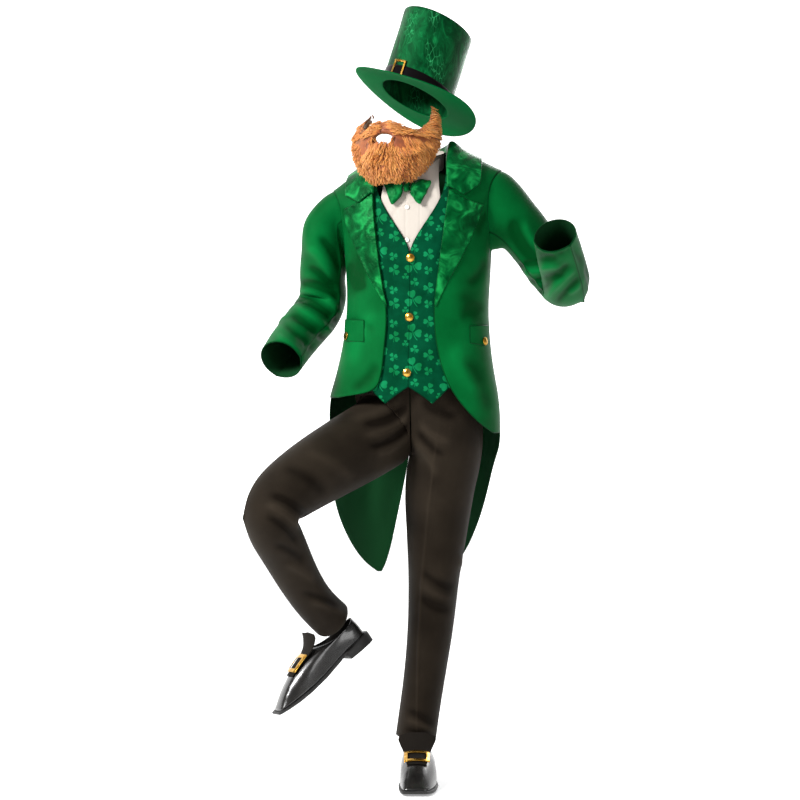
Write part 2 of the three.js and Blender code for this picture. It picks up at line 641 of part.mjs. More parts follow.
// The sleeve's columns stand at the coat's rows round the armhole.
const SLEEVE_COLUMNS = {
  '-1': {
    upper: [-0.29, -0.215, -0.14, -0.07, 0, 0.07, 0.14, 0.215, 0.29, 0.365],
    under: [0.365, 0.435, 0.5, 0.565, 0.635, 0.71],
  },
  1: {
    upper: [-0.215, -0.14, -0.07, 0, 0.07, 0.14, 0.215, 0.29, 0.365, 0.435],
    under: [0.435, 0.5, 0.565, 0.635, 0.71, 0.785],
  },
};
const SLEEVE_STOPS = [
  0, 0.035, 0.08, 0.14, 0.2, 0.28, 0.36, 0.43, 0.49, 0.55, 0.61, 0.67, 0.74, 0.82, 0.91, 1,
];
const SLEEVE_FOLDS = {
  '-1': folds([
    [-1, -268, 1206, -176, 1160, 13, -5], [-1, -276, 1168, -190, 1118, 13, 4],
    [-1, -290, 1128, -214, 1076, 13, -4], [1, -276, 1190, -190, 1120, 15, -4],
    [1, -296, 1130, -226, 1066, 15, 4],
  ]),
  1: folds([
    [-1, 240, 1238, 336, 1252, 13, -5], [-1, 262, 1204, 350, 1222, 12, 4],
    [-1, 316, 1172, 362, 1236, 12, -4], [1, 250, 1236, 350, 1226, 15, -4],
  ]),
};
// At the armhole the sleeve's wall follows the coat's, so that the two meet edge to edge.
function sleeve(side, name, columns) {
  const gap = 0.001;
  const turnAt = (s) => pick(columns, s) + gap * (1 - 2 * s);
  const at = (s, t) => sleevePoint(side, turnAt(s), pick(SLEEVE_STOPS, t));
  const trim = (n, s, t) => {
    if (t > 0.01) return;
    const { normal } = armholeFrame(side, turnAt(s));
    n.copy(normal.dot(n) < 0 ? normal.negate() : normal);
  };
  sheet(name, at, [columns.length - 1, SLEEVE_STOPS.length - 1], COAT,
    { flip: side > 0, lift: COAT_LIFT, fold: SLEEVE_FOLDS[side], trim });
}
[[-1, 'right'], [1, 'left']].forEach(([side, label]) => {
  sleeve(side, `sleeve_upper_${label}`, SLEEVE_COLUMNS[side].upper);
  sleeve(side, `sleeve_under_${label}`, SLEEVE_COLUMNS[side].under);
});

// Waistcoat fronts: the hem's two points, the V-neck, and a strap up to the shoulder.
const WAIST_EDGE = table(['z', 'x'], [
  [918, 50], [940, 30], [959, 4], [962, 0.4], [1289, 0.4], [1294, 3], [1359, 48], [1400, 72], [1430, 88],
  [1470, 84], [1530, 74],
]);
const WAIST_HEM = [[0, 955], [0.16, 915], [0.31, 952], [0.6, 958], [0.95, 962]];
const WAIST_STOPS = [0, 0.095, 0.186, 0.27, 0.36, 0.5, 0.72, 1];
const WAIST_TOP = 0.84;
function waistcoat(side, name) {
  const levels = [0, 0.05, 0.12, 0.21, 0.31, 0.41, 0.52, 0.62, 0.64, 0.7, 0.78, 0.86, 0.93, 1];
  const at = (s, t) => {
    const u = pick(levels, t);
    const outer = lerp(0.86, 0.6, smooth(clamp((u - 0.62) / 0.3, 0, 1)));
    const turn = u < 0.62 ? u / 0.62 : 1;
    const share = pick(WAIST_STOPS, s);
    const hem = straight(WAIST_HEM, outer * share) - UNDERARM;
    const h = u < 0.62 ? lerp(hem, 0, turn) : (u - 0.62) / 0.38 * WAIST_TOP;
    let x = side * 60;
    const z = h < 0 ? UNDERARM + h : 0;
    for (let k = 0; k < 6; k += 1) {
      const height = z || lerp(UNDERARM, shoulderHeight(x), sin(h * 90 * RAD) ** ROUND);
      x = side * column(WAIST_EDGE, 'z', height, 'x');
    }
    const inner = turn < 1 ? shareOf(side * 0.4, h, 0) : shareOf(x, h, 0);
    return trunk(-1, side, lerp(inner, outer, share), h, 0);
  };
  sheet(name, at, [7, levels.length - 1], PRINT, { lift: 4.8, wall: THIN, flip: side < 0 });
}
waistcoat(-1, 'waistcoat_front_right');
waistcoat(1, 'waistcoat_front_left');

const GOLD_BUTTON = [[4, 0], [9, 0.8], [10, 2.4], [8.4, 4], [4.4, 5]];
[[2, 1262, 5.4], [0, 1121, 5.5], [-3, 988, 5.1]].forEach(([x, z, out], i) => {
  const frame = frameAt((a, b) => onBody(-1, a, b), x, z, out);
  button(`waistcoat_button_${i + 1}`, frame, GOLD_BUTTON, 12, GOLD);
});

// Shirt front: a bib from under the waistcoat up to the neck, with a stand collar.
const BIB = { half: 96, bottom: 1205 };
const bibTop = (s) => lerp(1468, 1512, abs(s * 2 - 1) ** 2);
sheet('shirt_front', (s, t) => onBody(-1, lerp(-1, 1, s) * lerp(BIB.half, 64, smooth(t)),
  lerp(BIB.bottom, bibTop(s), t)), [10, 8], SHIRT, { lift: -0.8, wall: 1.2 });

const NECKBAND = { wide: 66, deep: 49, low: 1466, high: 1508 };
function neckband(s, t) {
  const a = s * 2 * PI;
  const front = 0.5 + 0.5 * cos(a);
  const low = lerp(NECKBAND.high - 6, NECKBAND.low, front);
  const flare = 1 + 0.04 * t;
  return place(NECKBAND.wide * flare * sin(a), 4 - NECKBAND.deep * flare * cos(a),
    low + 4 + t * lerp(36, 40, front), 1500);
}
sheet('shirt_collar', neckband, [24, 1], SHIRT, { wrap: true, wall: 1.4, flip: false });

const SMALL_BUTTON = [[3, 0], [5.2, 0.6], [5.6, 1.6], [4.4, 2.6]];
[[-7, 1384, -0.7], [-7, 1305, -0.5]].forEach(([x, z, out], i) => {
  const frame = frameAt((a, b) => onBody(-1, a, b), x, z, out);
  button(`shirt_button_${i + 1}`, frame, SMALL_BUTTON, 8, PEARL);
});

// Trousers: a half ring round the hips on each side that closes at the crotch into the ring of a leg.
// turn goes from the centre front or the inside of the leg (0) by the side (0.5) back again (1).
const WAIST = { z: 966, half: 152, front: 100, back: 104, power: 2.3, shift: -2, turn: -7 * RAD };
const CROTCH = { x: -10, z: 785 };
const LEG_START = 0.2;
const LEG = {
  1: table(['t', 'x', 'y', 'z', 'across', 'deep'], [
    [0.2, 77, 2, 792, 86, 92], [0.28, 62, 4, 724, 85, 90], [0.36, 56, 5, 650, 78, 83],
    [0.45, 52, 3, 580, 70, 77], [0.53, 47, 0, 508, 62, 70], [0.6, 44, -2, 455, 58, 66],
    [0.7, 38, 3, 370, 54, 62], [0.8, 28, 8, 280, 50, 58], [0.9, 15, 10, 190, 47.5, 54],
    [1, 2, 8, 96, 47.5, 53],
  ]),
  '-1': table(['t', 'x', 'y', 'z', 'across', 'deep'], [
    [0.2, -66, 8, 854, 90, 90], [0.29, -138, -62, 811, 89, 88], [0.38, -206, -128, 772, 84, 84],
    [0.46, -264, -186, 736, 77, 78], [0.53, -308, -230, 702, 71, 72], [0.59, -330, -252, 670, 67, 68],
    [0.65, -334, -244, 634, 63, 64], [0.72, -318, -204, 590, 57, 60], [0.82, -285, -150, 512, 50, 54],
    [0.92, -246, -102, 440, 47, 51], [1, -205, -50, 394, 48, 50],
  ]),
};
const LEG_FRAME = { 1: limb(LEG[1], vec(0, -1, 0)), '-1': limb(LEG['-1'], vec(0.455, -0.776, 0.449)) };

function hips(side, turn) {
  const a = turn * PI;
  const x = side * WAIST.half * power(sin(a), 2 / WAIST.power);
  const y = -power(cos(a), 2 / WAIST.power) * (turn < 0.5 ? WAIST.front : WAIST.back);
  const c = cos(WAIST.turn);
  const s = sin(WAIST.turn);
  return vec(WAIST.shift + x * c - y * s, x * s + y * c, WAIST.z);
}

function legRing(side, turn, t) {
  const frame = LEG_FRAME[side](t);
  const a = turn * 2 * PI;
  const toward = frame.side.x * side > 0 ? -1 : 1;
  const x = column(LEG[side], 't', t, 'across') * cos(a) * (side > 0 ? toward : LEG_IN);
  return ringPoint(frame, x, column(LEG[side], 't', t, 'deep') * sin(a), 0);
}
const LEG_IN = sign(LEG_FRAME['-1'](LEG_START).side.x);

function legPoint(side, turn, t) {
  if (t >= LEG_START) return legRing(side, turn, t);
  const u = t / LEG_START;
  const ring = legRing(side, turn, LEG_START);
  const start = hips(side, turn);
  const plain = start.clone().lerp(ring, u);
  const end = turn < 0.5 ? 0 : 1;
  const top = hips(side, end);
  const drop = sin(u * PI / 2);
  const fall = cos(u * PI / 2);
  const low = WAIST.z - (WAIST.z - CROTCH.z) * drop ** 1.3;
  const seam = vec(lerp(top.x, CROTCH.x, u), top.y * fall ** 0.7, low);
  const straight = top.clone().lerp(legRing(side, end, LEG_START), u);
  const share = cos(turn * PI) ** 4;
  const bulge = sin(turn * PI) * sin(u * PI) * 10;
  return plain.addScaledVector(seam.sub(straight), share).add(vec(side * bulge, 0, 0));
}

const LEG_SEAM = 0.5;
const LEG_STOPS = {
  1: [
    0, 0.0556, 0.1111, 0.1667, 0.2222, 0.2778, 0.3333, 0.39, 0.44, 0.49, 0.53, 0.57, 0.62, 0.68, 0.74,
    0.8, 0.87, 0.94, 1,
  ],
  '-1': [
    0, 0.0556, 0.1111, 0.1667, 0.2222, 0.2778, 0.3333, 0.39, 0.44, 0.48, 0.52, 0.555, 0.59, 0.625, 0.68,
    0.75, 0.84, 0.92, 1,
  ],
};
const LEG_FOLDS = {
  '-1': folds([
    [-1, -24, 918, -116, 866, 15, -5], [-1, -20, 880, -100, 824, 14, 4],
    [-1, -338, 716, -306, 684, 12, -3.5],
    [1, -60, 850, -150, 800, 18, -5],
  ]),
  1: folds([
    [-1, 8, 850, 74, 796, 15, -4], [-1, 22, 470, 78, 444, 15, -3], [1, 10, 520, 86, 500, 16, -4],
  ]),
};
function leg(side, name, from, to) {
  const gap = 0.0008;
  const at = (s, v) => {
    const t = pick(LEG_STOPS[side], v);
    const p = legPoint(side, lerp(from + gap, to - gap, s), t);
    if (t > LEG_START + 0.001) return p;
    const u = t / LEG_START;
    const middle = lerp(WAIST.shift - p.y * sin(WAIST.turn), CROTCH.x, u);
    const off = SEAM * 0.6 + 4 * sin(PI * lerp(from, to, s));
    p.x = side > 0 ? max(p.x, middle + off) : min(p.x, middle - off);
    return p;
  };
  // Along the rise the two halves meet in the middle plane, so the walls there run along it.
  const trim = (n, s, v) => {
    const t = pick(LEG_STOPS[side], v);
    const turn = lerp(from, to, s);
    if (t > LEG_START + 0.001 || (turn > 0.001 && turn < 0.999)) return;
    n.x = -n.y * sin(WAIST.turn) * (1 - t / LEG_START);
    n.normalize();
  };
  sheet(name, at, [8, 18], TROUSER, { flip: side < 0, trim, fold: LEG_FOLDS[side] });
}
[[-1, 'right'], [1, 'left']].forEach(([side, label]) => {
  leg(side, `trouser_front_${label}`, 0, LEG_SEAM);
  leg(side, `trouser_back_${label}`, LEG_SEAM, 1);
});

const waistband = (s, t) => {
  const turn = s * 2;
  const p = turn < 1 ? hips(1, turn) : hips(-1, 2 - turn);
  return p.add(vec(0, 0, SEAM + t * 36));
};
sheet('trouser_waistband', waistband, [24, 1], TROUSER, { wrap: true, wall: 2.4 });

// Shoes: x forward from the back of the heel, y to the outside, z up from the ground.
const SHOE_LENGTH = 298;
const WELT = 1.4;                   // between the upper's edge and the sole
const LAST = table(['x', 'half', 'centre', 'top', 'bottom'], [
  [0, 16, 0, 27, 1], [10, 28, 0, 27, 0], [40, 34, 0, 26, 0], [72, 34, 1, 24, 0], [78, 34, 1, 23, 15],
  [110, 35, 2, 18, 10], [150, 41, 4, 12, 4], [200, 46, 4, 9, 1], [240, 43, 2, 9, 1],
  [270, 38, 0, 10, 3], [288, 32, -2, 11.5, 5], [298, 24, -3, 12, 6],
]);
const TOPLINE = { back: 6, front: 136, half: 34, rear: 74, fore: 80 };

// Half the outline's width is rounded at both ends, so a point runs evenly round it.
function soleEdge(turn) {
  const a = turn * 2 * PI;
  const x = SHOE_LENGTH * (0.5 + 0.5 * cos(a));
  const y = column(LAST, 'x', x, 'half') * sign(sin(a)) * min(1, abs(sin(a)) * 6);
  return { x, y: y + column(LAST, 'x', x, 'centre'), z: column(LAST, 'x', x, 'top') };
}

function upper(turn, t) {
  const e = soleEdge(turn);
  const a = turn * 2 * PI;
  const mid = (TOPLINE.front + TOPLINE.back) / 2;
  const span = (TOPLINE.front - TOPLINE.back) / 2;
  const top = { x: mid + span * cos(a), y: TOPLINE.half * sin(a) + 1,
    z: lerp(TOPLINE.rear, TOPLINE.fore, 0.5 + 0.5 * cos(a)) - 14 * sin(a) ** 2 };
  const arc = t * PI / 2;
  const toe = smooth(clamp(cos(a) * 1.4 - 0.4, 0, 1));
  const rise = lerp(sin(arc), lerp(sin(arc), t, 0.4), toe);
  const inward = lerp(1 - cos(arc), lerp(1 - cos(arc), t, 0.7), toe);
  const side = 1 + 0.05 * sin(PI * t);
  const lip = 0.96;
  return [lerp(lerp(e.x, mid, 0.02), top.x, inward), lerp(e.y * lip, top.y, inward) * side,
    e.z + WELT + (top.z - e.z) * rise];
}

// Each shoe's back of the heel, the way it points, and which way is up.
const SHOES = {
  1: { at: vec(6, 68, 0), forward: vec(-0.015, -1, 0), up: vec(0, 0, 1), outside: 1 },
  '-1': {
    at: vec(-112, 30, 330), forward: vec(-0.7, -0.35, -0.54), up: vec(-0.55, -0.12, 0.8), outside: -1,
  },
};
const SHOE_FRAME = {};
[-1, 1].forEach((side) => {
  const { at, forward, up, outside } = SHOES[side];
  const f = forward.clone().normalize();
  const u = up.clone().addScaledVector(f, -up.dot(f)).normalize();
  const out = f.clone().cross(u).normalize();
  if (out.x * outside < 0 && side > 0) out.negate();
  SHOE_FRAME[side] = { at, f, u, out };
});
function onShoe(side, [x, y, z]) {
  const { at, f, u, out } = SHOE_FRAME[side];
  return at.clone().addScaledVector(f, x).addScaledVector(out, y).addScaledVector(u, z);
}

function shoe(side, label) {
  sheet(`shoe_upper_${label}`, (s, t) => onShoe(side, upper(s, t)), [26, 6], SHOE,
    { wrap: true, flip: side < 0, wall: 2 });
  const stations = [0, 3, 10, 40, 71.7, 72, 78, 110, 150, 200, 240, 268, 287, 296];
  const rings = stations.map((x) => {
    const c = (name) => column(LAST, 'x', x, name);
    const heel = x < 72;
    const low = heel ? 0 : max(c('bottom'), x < 79 ? 16 : 0);
    const w = c('half') * 0.96 + 3.5;
    const k = c('centre');
    const high = c('top');
    return [[-w + 1, high], [w - 1, high], [w, lerp(high, low, 0.2)], [w - 2, low], [-w + 2, low],
      [-w, lerp(high, low, 0.2)]].map(([y, z]) => onShoe(side, [x - (x < 5 ? 3 : -2), y + k, z]));
  });
  loft(`shoe_sole_${label}`, rings, SOLE);
}
// The tongue lies over the vamp under the buckle and stands up as a broad fan before the ankle.
const FAN = table(['v', 'x', 'z', 'half', 'round'], [
  [0, 218, 62, 24, 75], [0.2, 188, 74, 28, 80], [0.4, 154, 86, 33, 90], [0.6, 140, 92, 42, 95],
  [0.8, 131, 104, 46, 100], [0.92, 127, 113, 39, 100], [1, 125, 119, 20, 100],
]);
function vampHeight(x) {
  let low = 0;
  let high = 1;
  for (let k = 0; k < 30; k += 1) {
    const mid = (low + high) / 2;
    if (upper(0, mid)[0] > x) low = mid;
    else high = mid;
  }
  return upper(0, low)[2];
}
const TONGUE_RAISE = 3;
function tonguePoint(s, t, raise) {
  const c = (name) => column(FAN, 'v', t, name);
  const y = lerp(-1, 1, s) * c('half');
  const onVamp = vampHeight(c('x')) + TONGUE_RAISE;
  const free = smooth(clamp((t - 0.4) / 0.25, 0, 1));
  const z = t <= 0.4 ? onVamp : lerp(vampHeight(150) + TONGUE_RAISE, c('z'), free);
  const drop = y * y / (2 * c('round'));
  const lean = t <= 0.4 ? 0.3 : 1;
  return [c('x') - drop * lean + raise * 0.5, y, z - drop * (1 - lean) + raise];
}
const SHOE_BUCKLE = { wide: 62, low: 0.06, high: 0.36, raise: 3.4 };
function shoeTrim(side, label) {
  const flip = side < 0;
  sheet(`shoe_tongue_${label}`, (s, t) => onShoe(side, tonguePoint(s, t, 0)), [6, 8], TONGUE,
    { flip, wall: 2 });
  const stops = [0, 0.15, 0.38, 0.62, 0.85, 1];
  const rise = [0, 0.2, 0.5, 0.8, 1];
  const at = (s, t) => {
    const v = lerp(SHOE_BUCKLE.low, SHOE_BUCKLE.high, pick(rise, t));
    const [x, , z] = tonguePoint(0.5, v, SHOE_BUCKLE.raise);
    const y = lerp(-0.5, 0.5, pick(stops, s)) * SHOE_BUCKLE.wide;
    return onShoe(side, [x - y * y / 400, y, z - y * y / 220]);
  };
  const hole = (i, j) => i > 0 && i < 4 && j > 0 && j < 3;
  sheet(`shoe_buckle_${label}`, at, [5, 4], GOLD, { flip, wall: 2.6, hole });
}

shoe(1, 'left');
shoe(-1, 'right');
shoeTrim(1, 'left');
shoeTrim(-1, 'right');

// Top hat: x to its side, y to its back, z up its crown, worn askew and tipped back. lean is how much
// its rings drop to the wearer's left for each mm across.
const HAT = {
  at: vec(1, 4, 1663), roll: 17 * RAD, tip: 9 * RAD, yaw: -30 * RAD,
  half: 89, deep: 97, height: 190, flare: 1, brim: 70, lean: 0.125, wall: 2.4,
};
const HAT_TURN = new THREE.Matrix4().makeRotationY(HAT.roll)
  .multiply(new THREE.Matrix4().makeRotationX(-HAT.tip));
function onHat(x, y, z) {
  const across = x * cos(HAT.yaw) - y * sin(HAT.yaw);
  const back = x * sin(HAT.yaw) + y * cos(HAT.yaw);
  return vec(across, back, z - across * HAT.lean).applyMatrix4(HAT_TURN).add(HAT.at);
}

function crown(turn, z, out) {
  const a = turn * 2 * PI;
  const k = lerp(1, HAT.flare, z / HAT.height) - 0.012 * sin(PI * z / HAT.height);
  return onHat((HAT.half * k + out) * sin(a), -(HAT.deep * k + out) * cos(a), z);
}
sheet('hat_crown', (s, t) => crown(s, 0.6 + t * (HAT.height - 0.6), 0), [30, 4], VELVET,
  { wrap: true, wall: HAT.wall });
const tipRing = (k, rise) => {
  const ring = [];
  for (let i = 0; i < 30; i += 1) {
    const a = i / 30 * 2 * PI;
    ring.push(onHat(HAT.half * HAT.flare * k * sin(a), -HAT.deep * HAT.flare * k * cos(a),
      HAT.height + 2 * SEAM + rise));
  }
  return ring;
};
loft('hat_tip', [tipRing(1, 0), tipRing(1, HAT.wall - 0.5), tipRing(0.985, HAT.wall), tipRing(0.6, 3)],
  VELVET);

// The brim dips a little in front and behind and curls up at its sides.
const BRIM_ROWS = table(['t', 'out', 'lift'], [[0, -4, 0], [0.35, 21, 0], [0.75, 51, 2], [1, HAT.brim, 6]]);
sheet('hat_brim', (s, t) => {
  const a = s * 2 * PI;
  const out = column(BRIM_ROWS, 't', t, 'out');
  const side = sin(a) ** 2;
  const z = -0.4 + column(BRIM_ROWS, 't', t, 'lift') * lerp(-2.2, 1.6, side);
  return onHat((HAT.half + out) * sin(a), -(HAT.deep + out) * cos(a), z);
}, [30, 4], BRIM, { wrap: true, wall: 3, flip: true });

const HAT_BAND = { low: 2, high: 36, wall: 1.2, gap: 0.4 };
sheet('hat_band', (s, t) => crown(s, lerp(HAT_BAND.low, HAT_BAND.high, t),
  HAT_BAND.gap + HAT_BAND.wall), [30, 1], BAND, { wrap: true, wall: HAT_BAND.wall });

// The buckle is a rectangle with its prong, bent round the crown.
const HAT_BUCKLE = { turn: -0.02, wide: 37, low: 2, high: 46, bar: 5, wall: 2.2 };
const bars = (size, bar) => [0, bar / size, 0.5, 1 - bar / size, 1];
sheet('hat_buckle', (s, t) => {
  const { wide, low, high, bar, turn } = HAT_BUCKLE;
  const across = (pick(bars(wide, bar), s) - 0.5) * wide;
  return crown(turn + across / (2 * PI * HAT.deep), 3 + lerp(low, high, pick(bars(high - low, bar), t)),
    HAT_BAND.gap + HAT_BAND.wall + 0.5 + HAT_BUCKLE.wall);
}, [4, 4], GOLD, { wall: HAT_BUCKLE.wall, hole: (i, j) => i > 0 && i < 3 && j > 0 && j < 3 });

// False beard: a thick shell of fur round the jaw from ear to ear, with a hole for the mouth.
const BEARD = { at: vec(-41, -44, 0), yaw: -22 * RAD, half: 70, deep: 84 };
const BEARD_TURNS = [
  -104, -90, -76, -62, -48, -36, -25, -14, -4, 6, 16, 28, 40, 52, 66, 80, 94, 107, 118,
];
const BEARD_LEVELS = [0, 0.12, 0.3, 0.48, 0.64, 0.79, 0.9, 1];
const BEARD_EDGE = table(['turn', 'top', 'bottom'], [
  [-104, 1626, 1566], [-80, 1600, 1526], [-60, 1584, 1484], [-40, 1574, 1452],
  [-20, 1584, 1441], [0, 1589, 1443], [25, 1582, 1443], [50, 1570, 1448], [66, 1578, 1466],
  [85, 1596, 1494], [105, 1626, 1530], [118, 1640, 1556],
]);
const BEARD_SHAPE = table(['level', 'out', 'thick', 'ahead'], [
  [0, 20, 9, -12], [0.12, 30, 20, -6], [0.3, 38, 29, -1], [0.48, 38, 32, 0], [0.64, 36, 29, 0],
  [0.79, 30, 23, 0], [0.9, 24, 17, 0], [1, 13, 8, 0],
]);
function beardPoint(s, t) {
  const turn = pick(BEARD_TURNS, s);
  const level = pick(BEARD_LEVELS, t);
  const a = turn * RAD;
  const edge = (name) => column(BEARD_EDGE, 'turn', turn, name);
  const end = 1 - 0.3 * smooth(clamp((abs(turn) - 84) / 30, 0, 1));
  const out = column(BEARD_SHAPE, 'level', level, 'out') * end + column(BEARD_SHAPE, 'level', level, 'ahead');
  const x = (BEARD.half + out) * sin(a);
  const y = -(BEARD.deep + out) * cos(a);
  const c = cos(BEARD.yaw);
  const d = sin(BEARD.yaw);
  return vec(BEARD.at.x + x * c - y * d, BEARD.at.y + x * d + y * c,
    lerp(edge('bottom'), edge('top'), level));
}
sheet('beard', beardPoint, [BEARD_TURNS.length - 1, BEARD_LEVELS.length - 1], FUR, {
  wall: (s, t) => column(BEARD_SHAPE, 'level', pick(BEARD_LEVELS, t), 'thick')
    * (1 - 0.6 * smooth(clamp((abs(pick(BEARD_TURNS, s)) - 84) / 30, 0, 1))),
  hole: (i, j) => j === 4 && i >= 7 && i <= 9,
});

// Bow tie: two soft satin wings that hang from a knot.
const BOW = { x: -7, z: 1431, out: 8.9 };
const BOW_FRAME = frameAt((a, b) => onBody(-1, a, b), BOW.x, BOW.z, BOW.out);
function onBow(x, z, out) {
  const { p, n, r, u } = BOW_FRAME;
  return p.clone().addScaledVector(r, x).addScaledVector(u, z).addScaledVector(n, out);
}
// Each wing's sections: how far out, how far down, half its height, half its thickness, its lean.
const WING = table(['t', 'out', 'down', 'half', 'thick', 'lean'], [
  [0, 9.8, 1, 11, 5, 0.12], [0.3, 19, 5, 23, 9, 0.22], [0.65, 34, 11, 31, 9, 0.32],
  [1, 48, 15, 34, 5, 0.38],
]);
function wing(side, name) {
  const rings = [0, 0.15, 0.3, 0.5, 0.75, 0.95, 1].map((t) => {
    const c = (key) => column(WING, 't', t, key);
    const soft = t === 1 ? 0.8 : 1;
    const ring = [];
    for (let i = 0; i < 14; i += 1) {
      const a = i / 14 * 2 * PI;
      const up = c('half') * soft * cos(a);
      ring.push(onBow(side * (c('out') + up * sin(c('lean'))), -c('down') + up * cos(c('lean')),
        c('thick') * soft * sin(a) - 4 * t * t));
    }
    return ring;
  });
  loft(name, rings, SATIN);
}
wing(-1, 'bow_wing_right');
wing(1, 'bow_wing_left');

const KNOT = [[-12, 6, 5], [-10.6, 8.6, 8], [0, 7.6, 9.6], [10.6, 8.8, 8], [12, 6, 5]];
loft('bow_knot', KNOT.map(([z, wide, thick]) => {
  const ring = [];
  for (let i = 0; i < 12; i += 1) {
    const a = i / 12 * 2 * PI;
    ring.push(onBow(wide * cos(a), z, thick * sin(a)));
  }
  return ring;
}), SATIN);

export default model;
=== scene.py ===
import math
import random

import bmesh
import bpy
import numpy as np
from mathutils import Matrix, Vector, bvhtree, kdtree, noise


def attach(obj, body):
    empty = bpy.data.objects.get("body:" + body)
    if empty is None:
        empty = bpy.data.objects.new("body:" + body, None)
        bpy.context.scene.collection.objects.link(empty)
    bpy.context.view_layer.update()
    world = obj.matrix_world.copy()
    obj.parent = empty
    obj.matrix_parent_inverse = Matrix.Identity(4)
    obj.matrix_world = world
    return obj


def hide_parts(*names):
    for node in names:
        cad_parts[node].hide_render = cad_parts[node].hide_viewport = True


# The leprechaun costume's looks: cloth, fur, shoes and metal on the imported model, in metres.
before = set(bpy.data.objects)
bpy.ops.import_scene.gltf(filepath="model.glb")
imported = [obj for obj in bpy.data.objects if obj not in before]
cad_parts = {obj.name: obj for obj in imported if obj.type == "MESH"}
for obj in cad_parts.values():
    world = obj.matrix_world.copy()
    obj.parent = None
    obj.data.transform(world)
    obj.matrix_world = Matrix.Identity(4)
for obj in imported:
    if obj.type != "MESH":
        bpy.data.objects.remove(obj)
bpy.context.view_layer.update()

MM = 0.001
ORIGIN = Vector((4, 0, 1470))      # the row's origin from the floor, in mm


def floor_point(x, y, z):
    """A point given in mm from the floor under the standing foot, in the row's frame."""
    return (Vector((x, y, z)) - ORIGIN) * MM


# Camera: level, at the photograph's distance

CAMERA_AT = (-37, -4500, 923)
FOCAL_PX = 1836                    # focal length for an image 800 wide
IMAGE_PX = 800

camera_data = bpy.data.cameras.new("camera")
camera = bpy.data.objects.new("camera", camera_data)
bpy.context.scene.collection.objects.link(camera)
camera.location = floor_point(*CAMERA_AT)
camera.rotation_euler = (math.radians(90), 0, 0)
camera_data.sensor_width = 36
camera_data.lens = FOCAL_PX / IMAGE_PX * camera_data.sensor_width
bpy.context.scene.camera = camera


# Materials

def linear(hex_colour):
    """An sRGB hex value as a linear RGBA colour."""
    out = []
    for i in (1, 3, 5):
        c = int(hex_colour[i:i + 2], 16) / 255
        out.append(c / 12.92 if c <= 0.04045 else ((c + 0.055) / 1.055) ** 2.4)
    return (*out, 1.0)


def add(tree, kind, inputs=None, **settings):
    """Adds a node with its settings; inputs are values, or (node, output) pairs to link."""
    node = tree.nodes.new(kind)
    for key, value in settings.items():
        setattr(node, key, value)
    for key, value in (inputs or {}).items():
        if isinstance(value, tuple) and len(value) == 2 and isinstance(value[0], bpy.types.Node):
            tree.links.new(value[0].outputs[value[1]], node.inputs[key])
        else:
            node.inputs[key].default_value = value
    return node


def new_material(name):
    """A material with its shader node; returns the material, its tree, the shader and the place."""
    material = bpy.data.materials.new(name)
    material.use_nodes = True
    tree = material.node_tree
    tree.nodes.clear()
    shader = add(tree, "ShaderNodeBsdfPrincipled")
    add(tree, "ShaderNodeOutputMaterial", {"Surface": (shader, "BSDF")})
    place = add(tree, "ShaderNodeTexCoord")
    return material, tree, shader, place


def ramp(tree, source, stops):
    """A colour ramp over a node's output, from (position, hex) stops."""
    node = add(tree, "ShaderNodeValToRGB", {"Fac": source})
    elements = node.color_ramp.elements
    while len(elements) < len(stops):
        elements.new(0.5)
    for element, (position, colour) in zip(elements, stops):
        element.position = position
        element.color = linear(colour)
    return node


def seam_shade(tree, colour, width, strength):
    """Painted shade: darkens a colour within width mm of a piece's edge, where cloth turns into its
    seam.
    """
    rim = add(tree, "ShaderNodeAttribute", attribute_name="rim")
    near = add(tree, "ShaderNodeMapRange", {"Value": (rim, "Fac"), "From Min": 0.0,
               "From Max": width * MM, "To Min": strength, "To Max": 0.0})
    # The near-black mixed in here is painted shade along the edge.
    return add(tree, "ShaderNodeMix", {0: (near, "Result"), 6: colour, 7: linear("#010c05")},
               data_type="RGBA")


def weave(tree, place, pitch, strength):
    """Twill lines and threads as a bump. pitch is the drawn thread spacing in mm, coarser than the
    real 0.4 mm, so that the weave still shows from a step away."""
    turned = add(tree, "ShaderNodeMapping", {"Vector": (place, "Object"),
                 "Rotation": (0, math.radians(45), 0)})
    lines = add(tree, "ShaderNodeTexWave", {"Vector": (turned, "Vector"),
                "Scale": 1 / (pitch * MM) / 20 * math.pi, "Distortion": 0.4, "Detail": 1.0},
                wave_type="BANDS", bands_direction="X")
    slub = add(tree, "ShaderNodeTexNoise", {"Vector": (place, "Object"), "Scale": 900.0,
               "Detail": 3.0, "Roughness": 0.7})
    both = add(tree, "ShaderNodeMath", {0: (lines, "Fac"), 1: (slub, "Fac")}, operation="ADD")
    return add(tree, "ShaderNodeBump", {"Height": (both, "Value"), "Strength": strength,
               "Distance": 0.0004})


def lining(tree, colour, inner):
    """The colour on a piece's outer face, and another on its inner one."""
    outward = add(tree, "ShaderNodeAttribute", attribute_name="face_out")
    surface = add(tree, "ShaderNodeNewGeometry")
    same = add(tree, "ShaderNodeVectorMath", {0: (outward, "Vector"), 1: (surface, "Normal")},
               operation="DOT_PRODUCT")
    inside = add(tree, "ShaderNodeMath", {0: (same, "Value"), 1: -0.2}, operation="LESS_THAN")
    return add(tree, "ShaderNodeMix", {0: (inside, "Value"), 6: colour, 7: linear(inner)},
               data_type="RGBA")


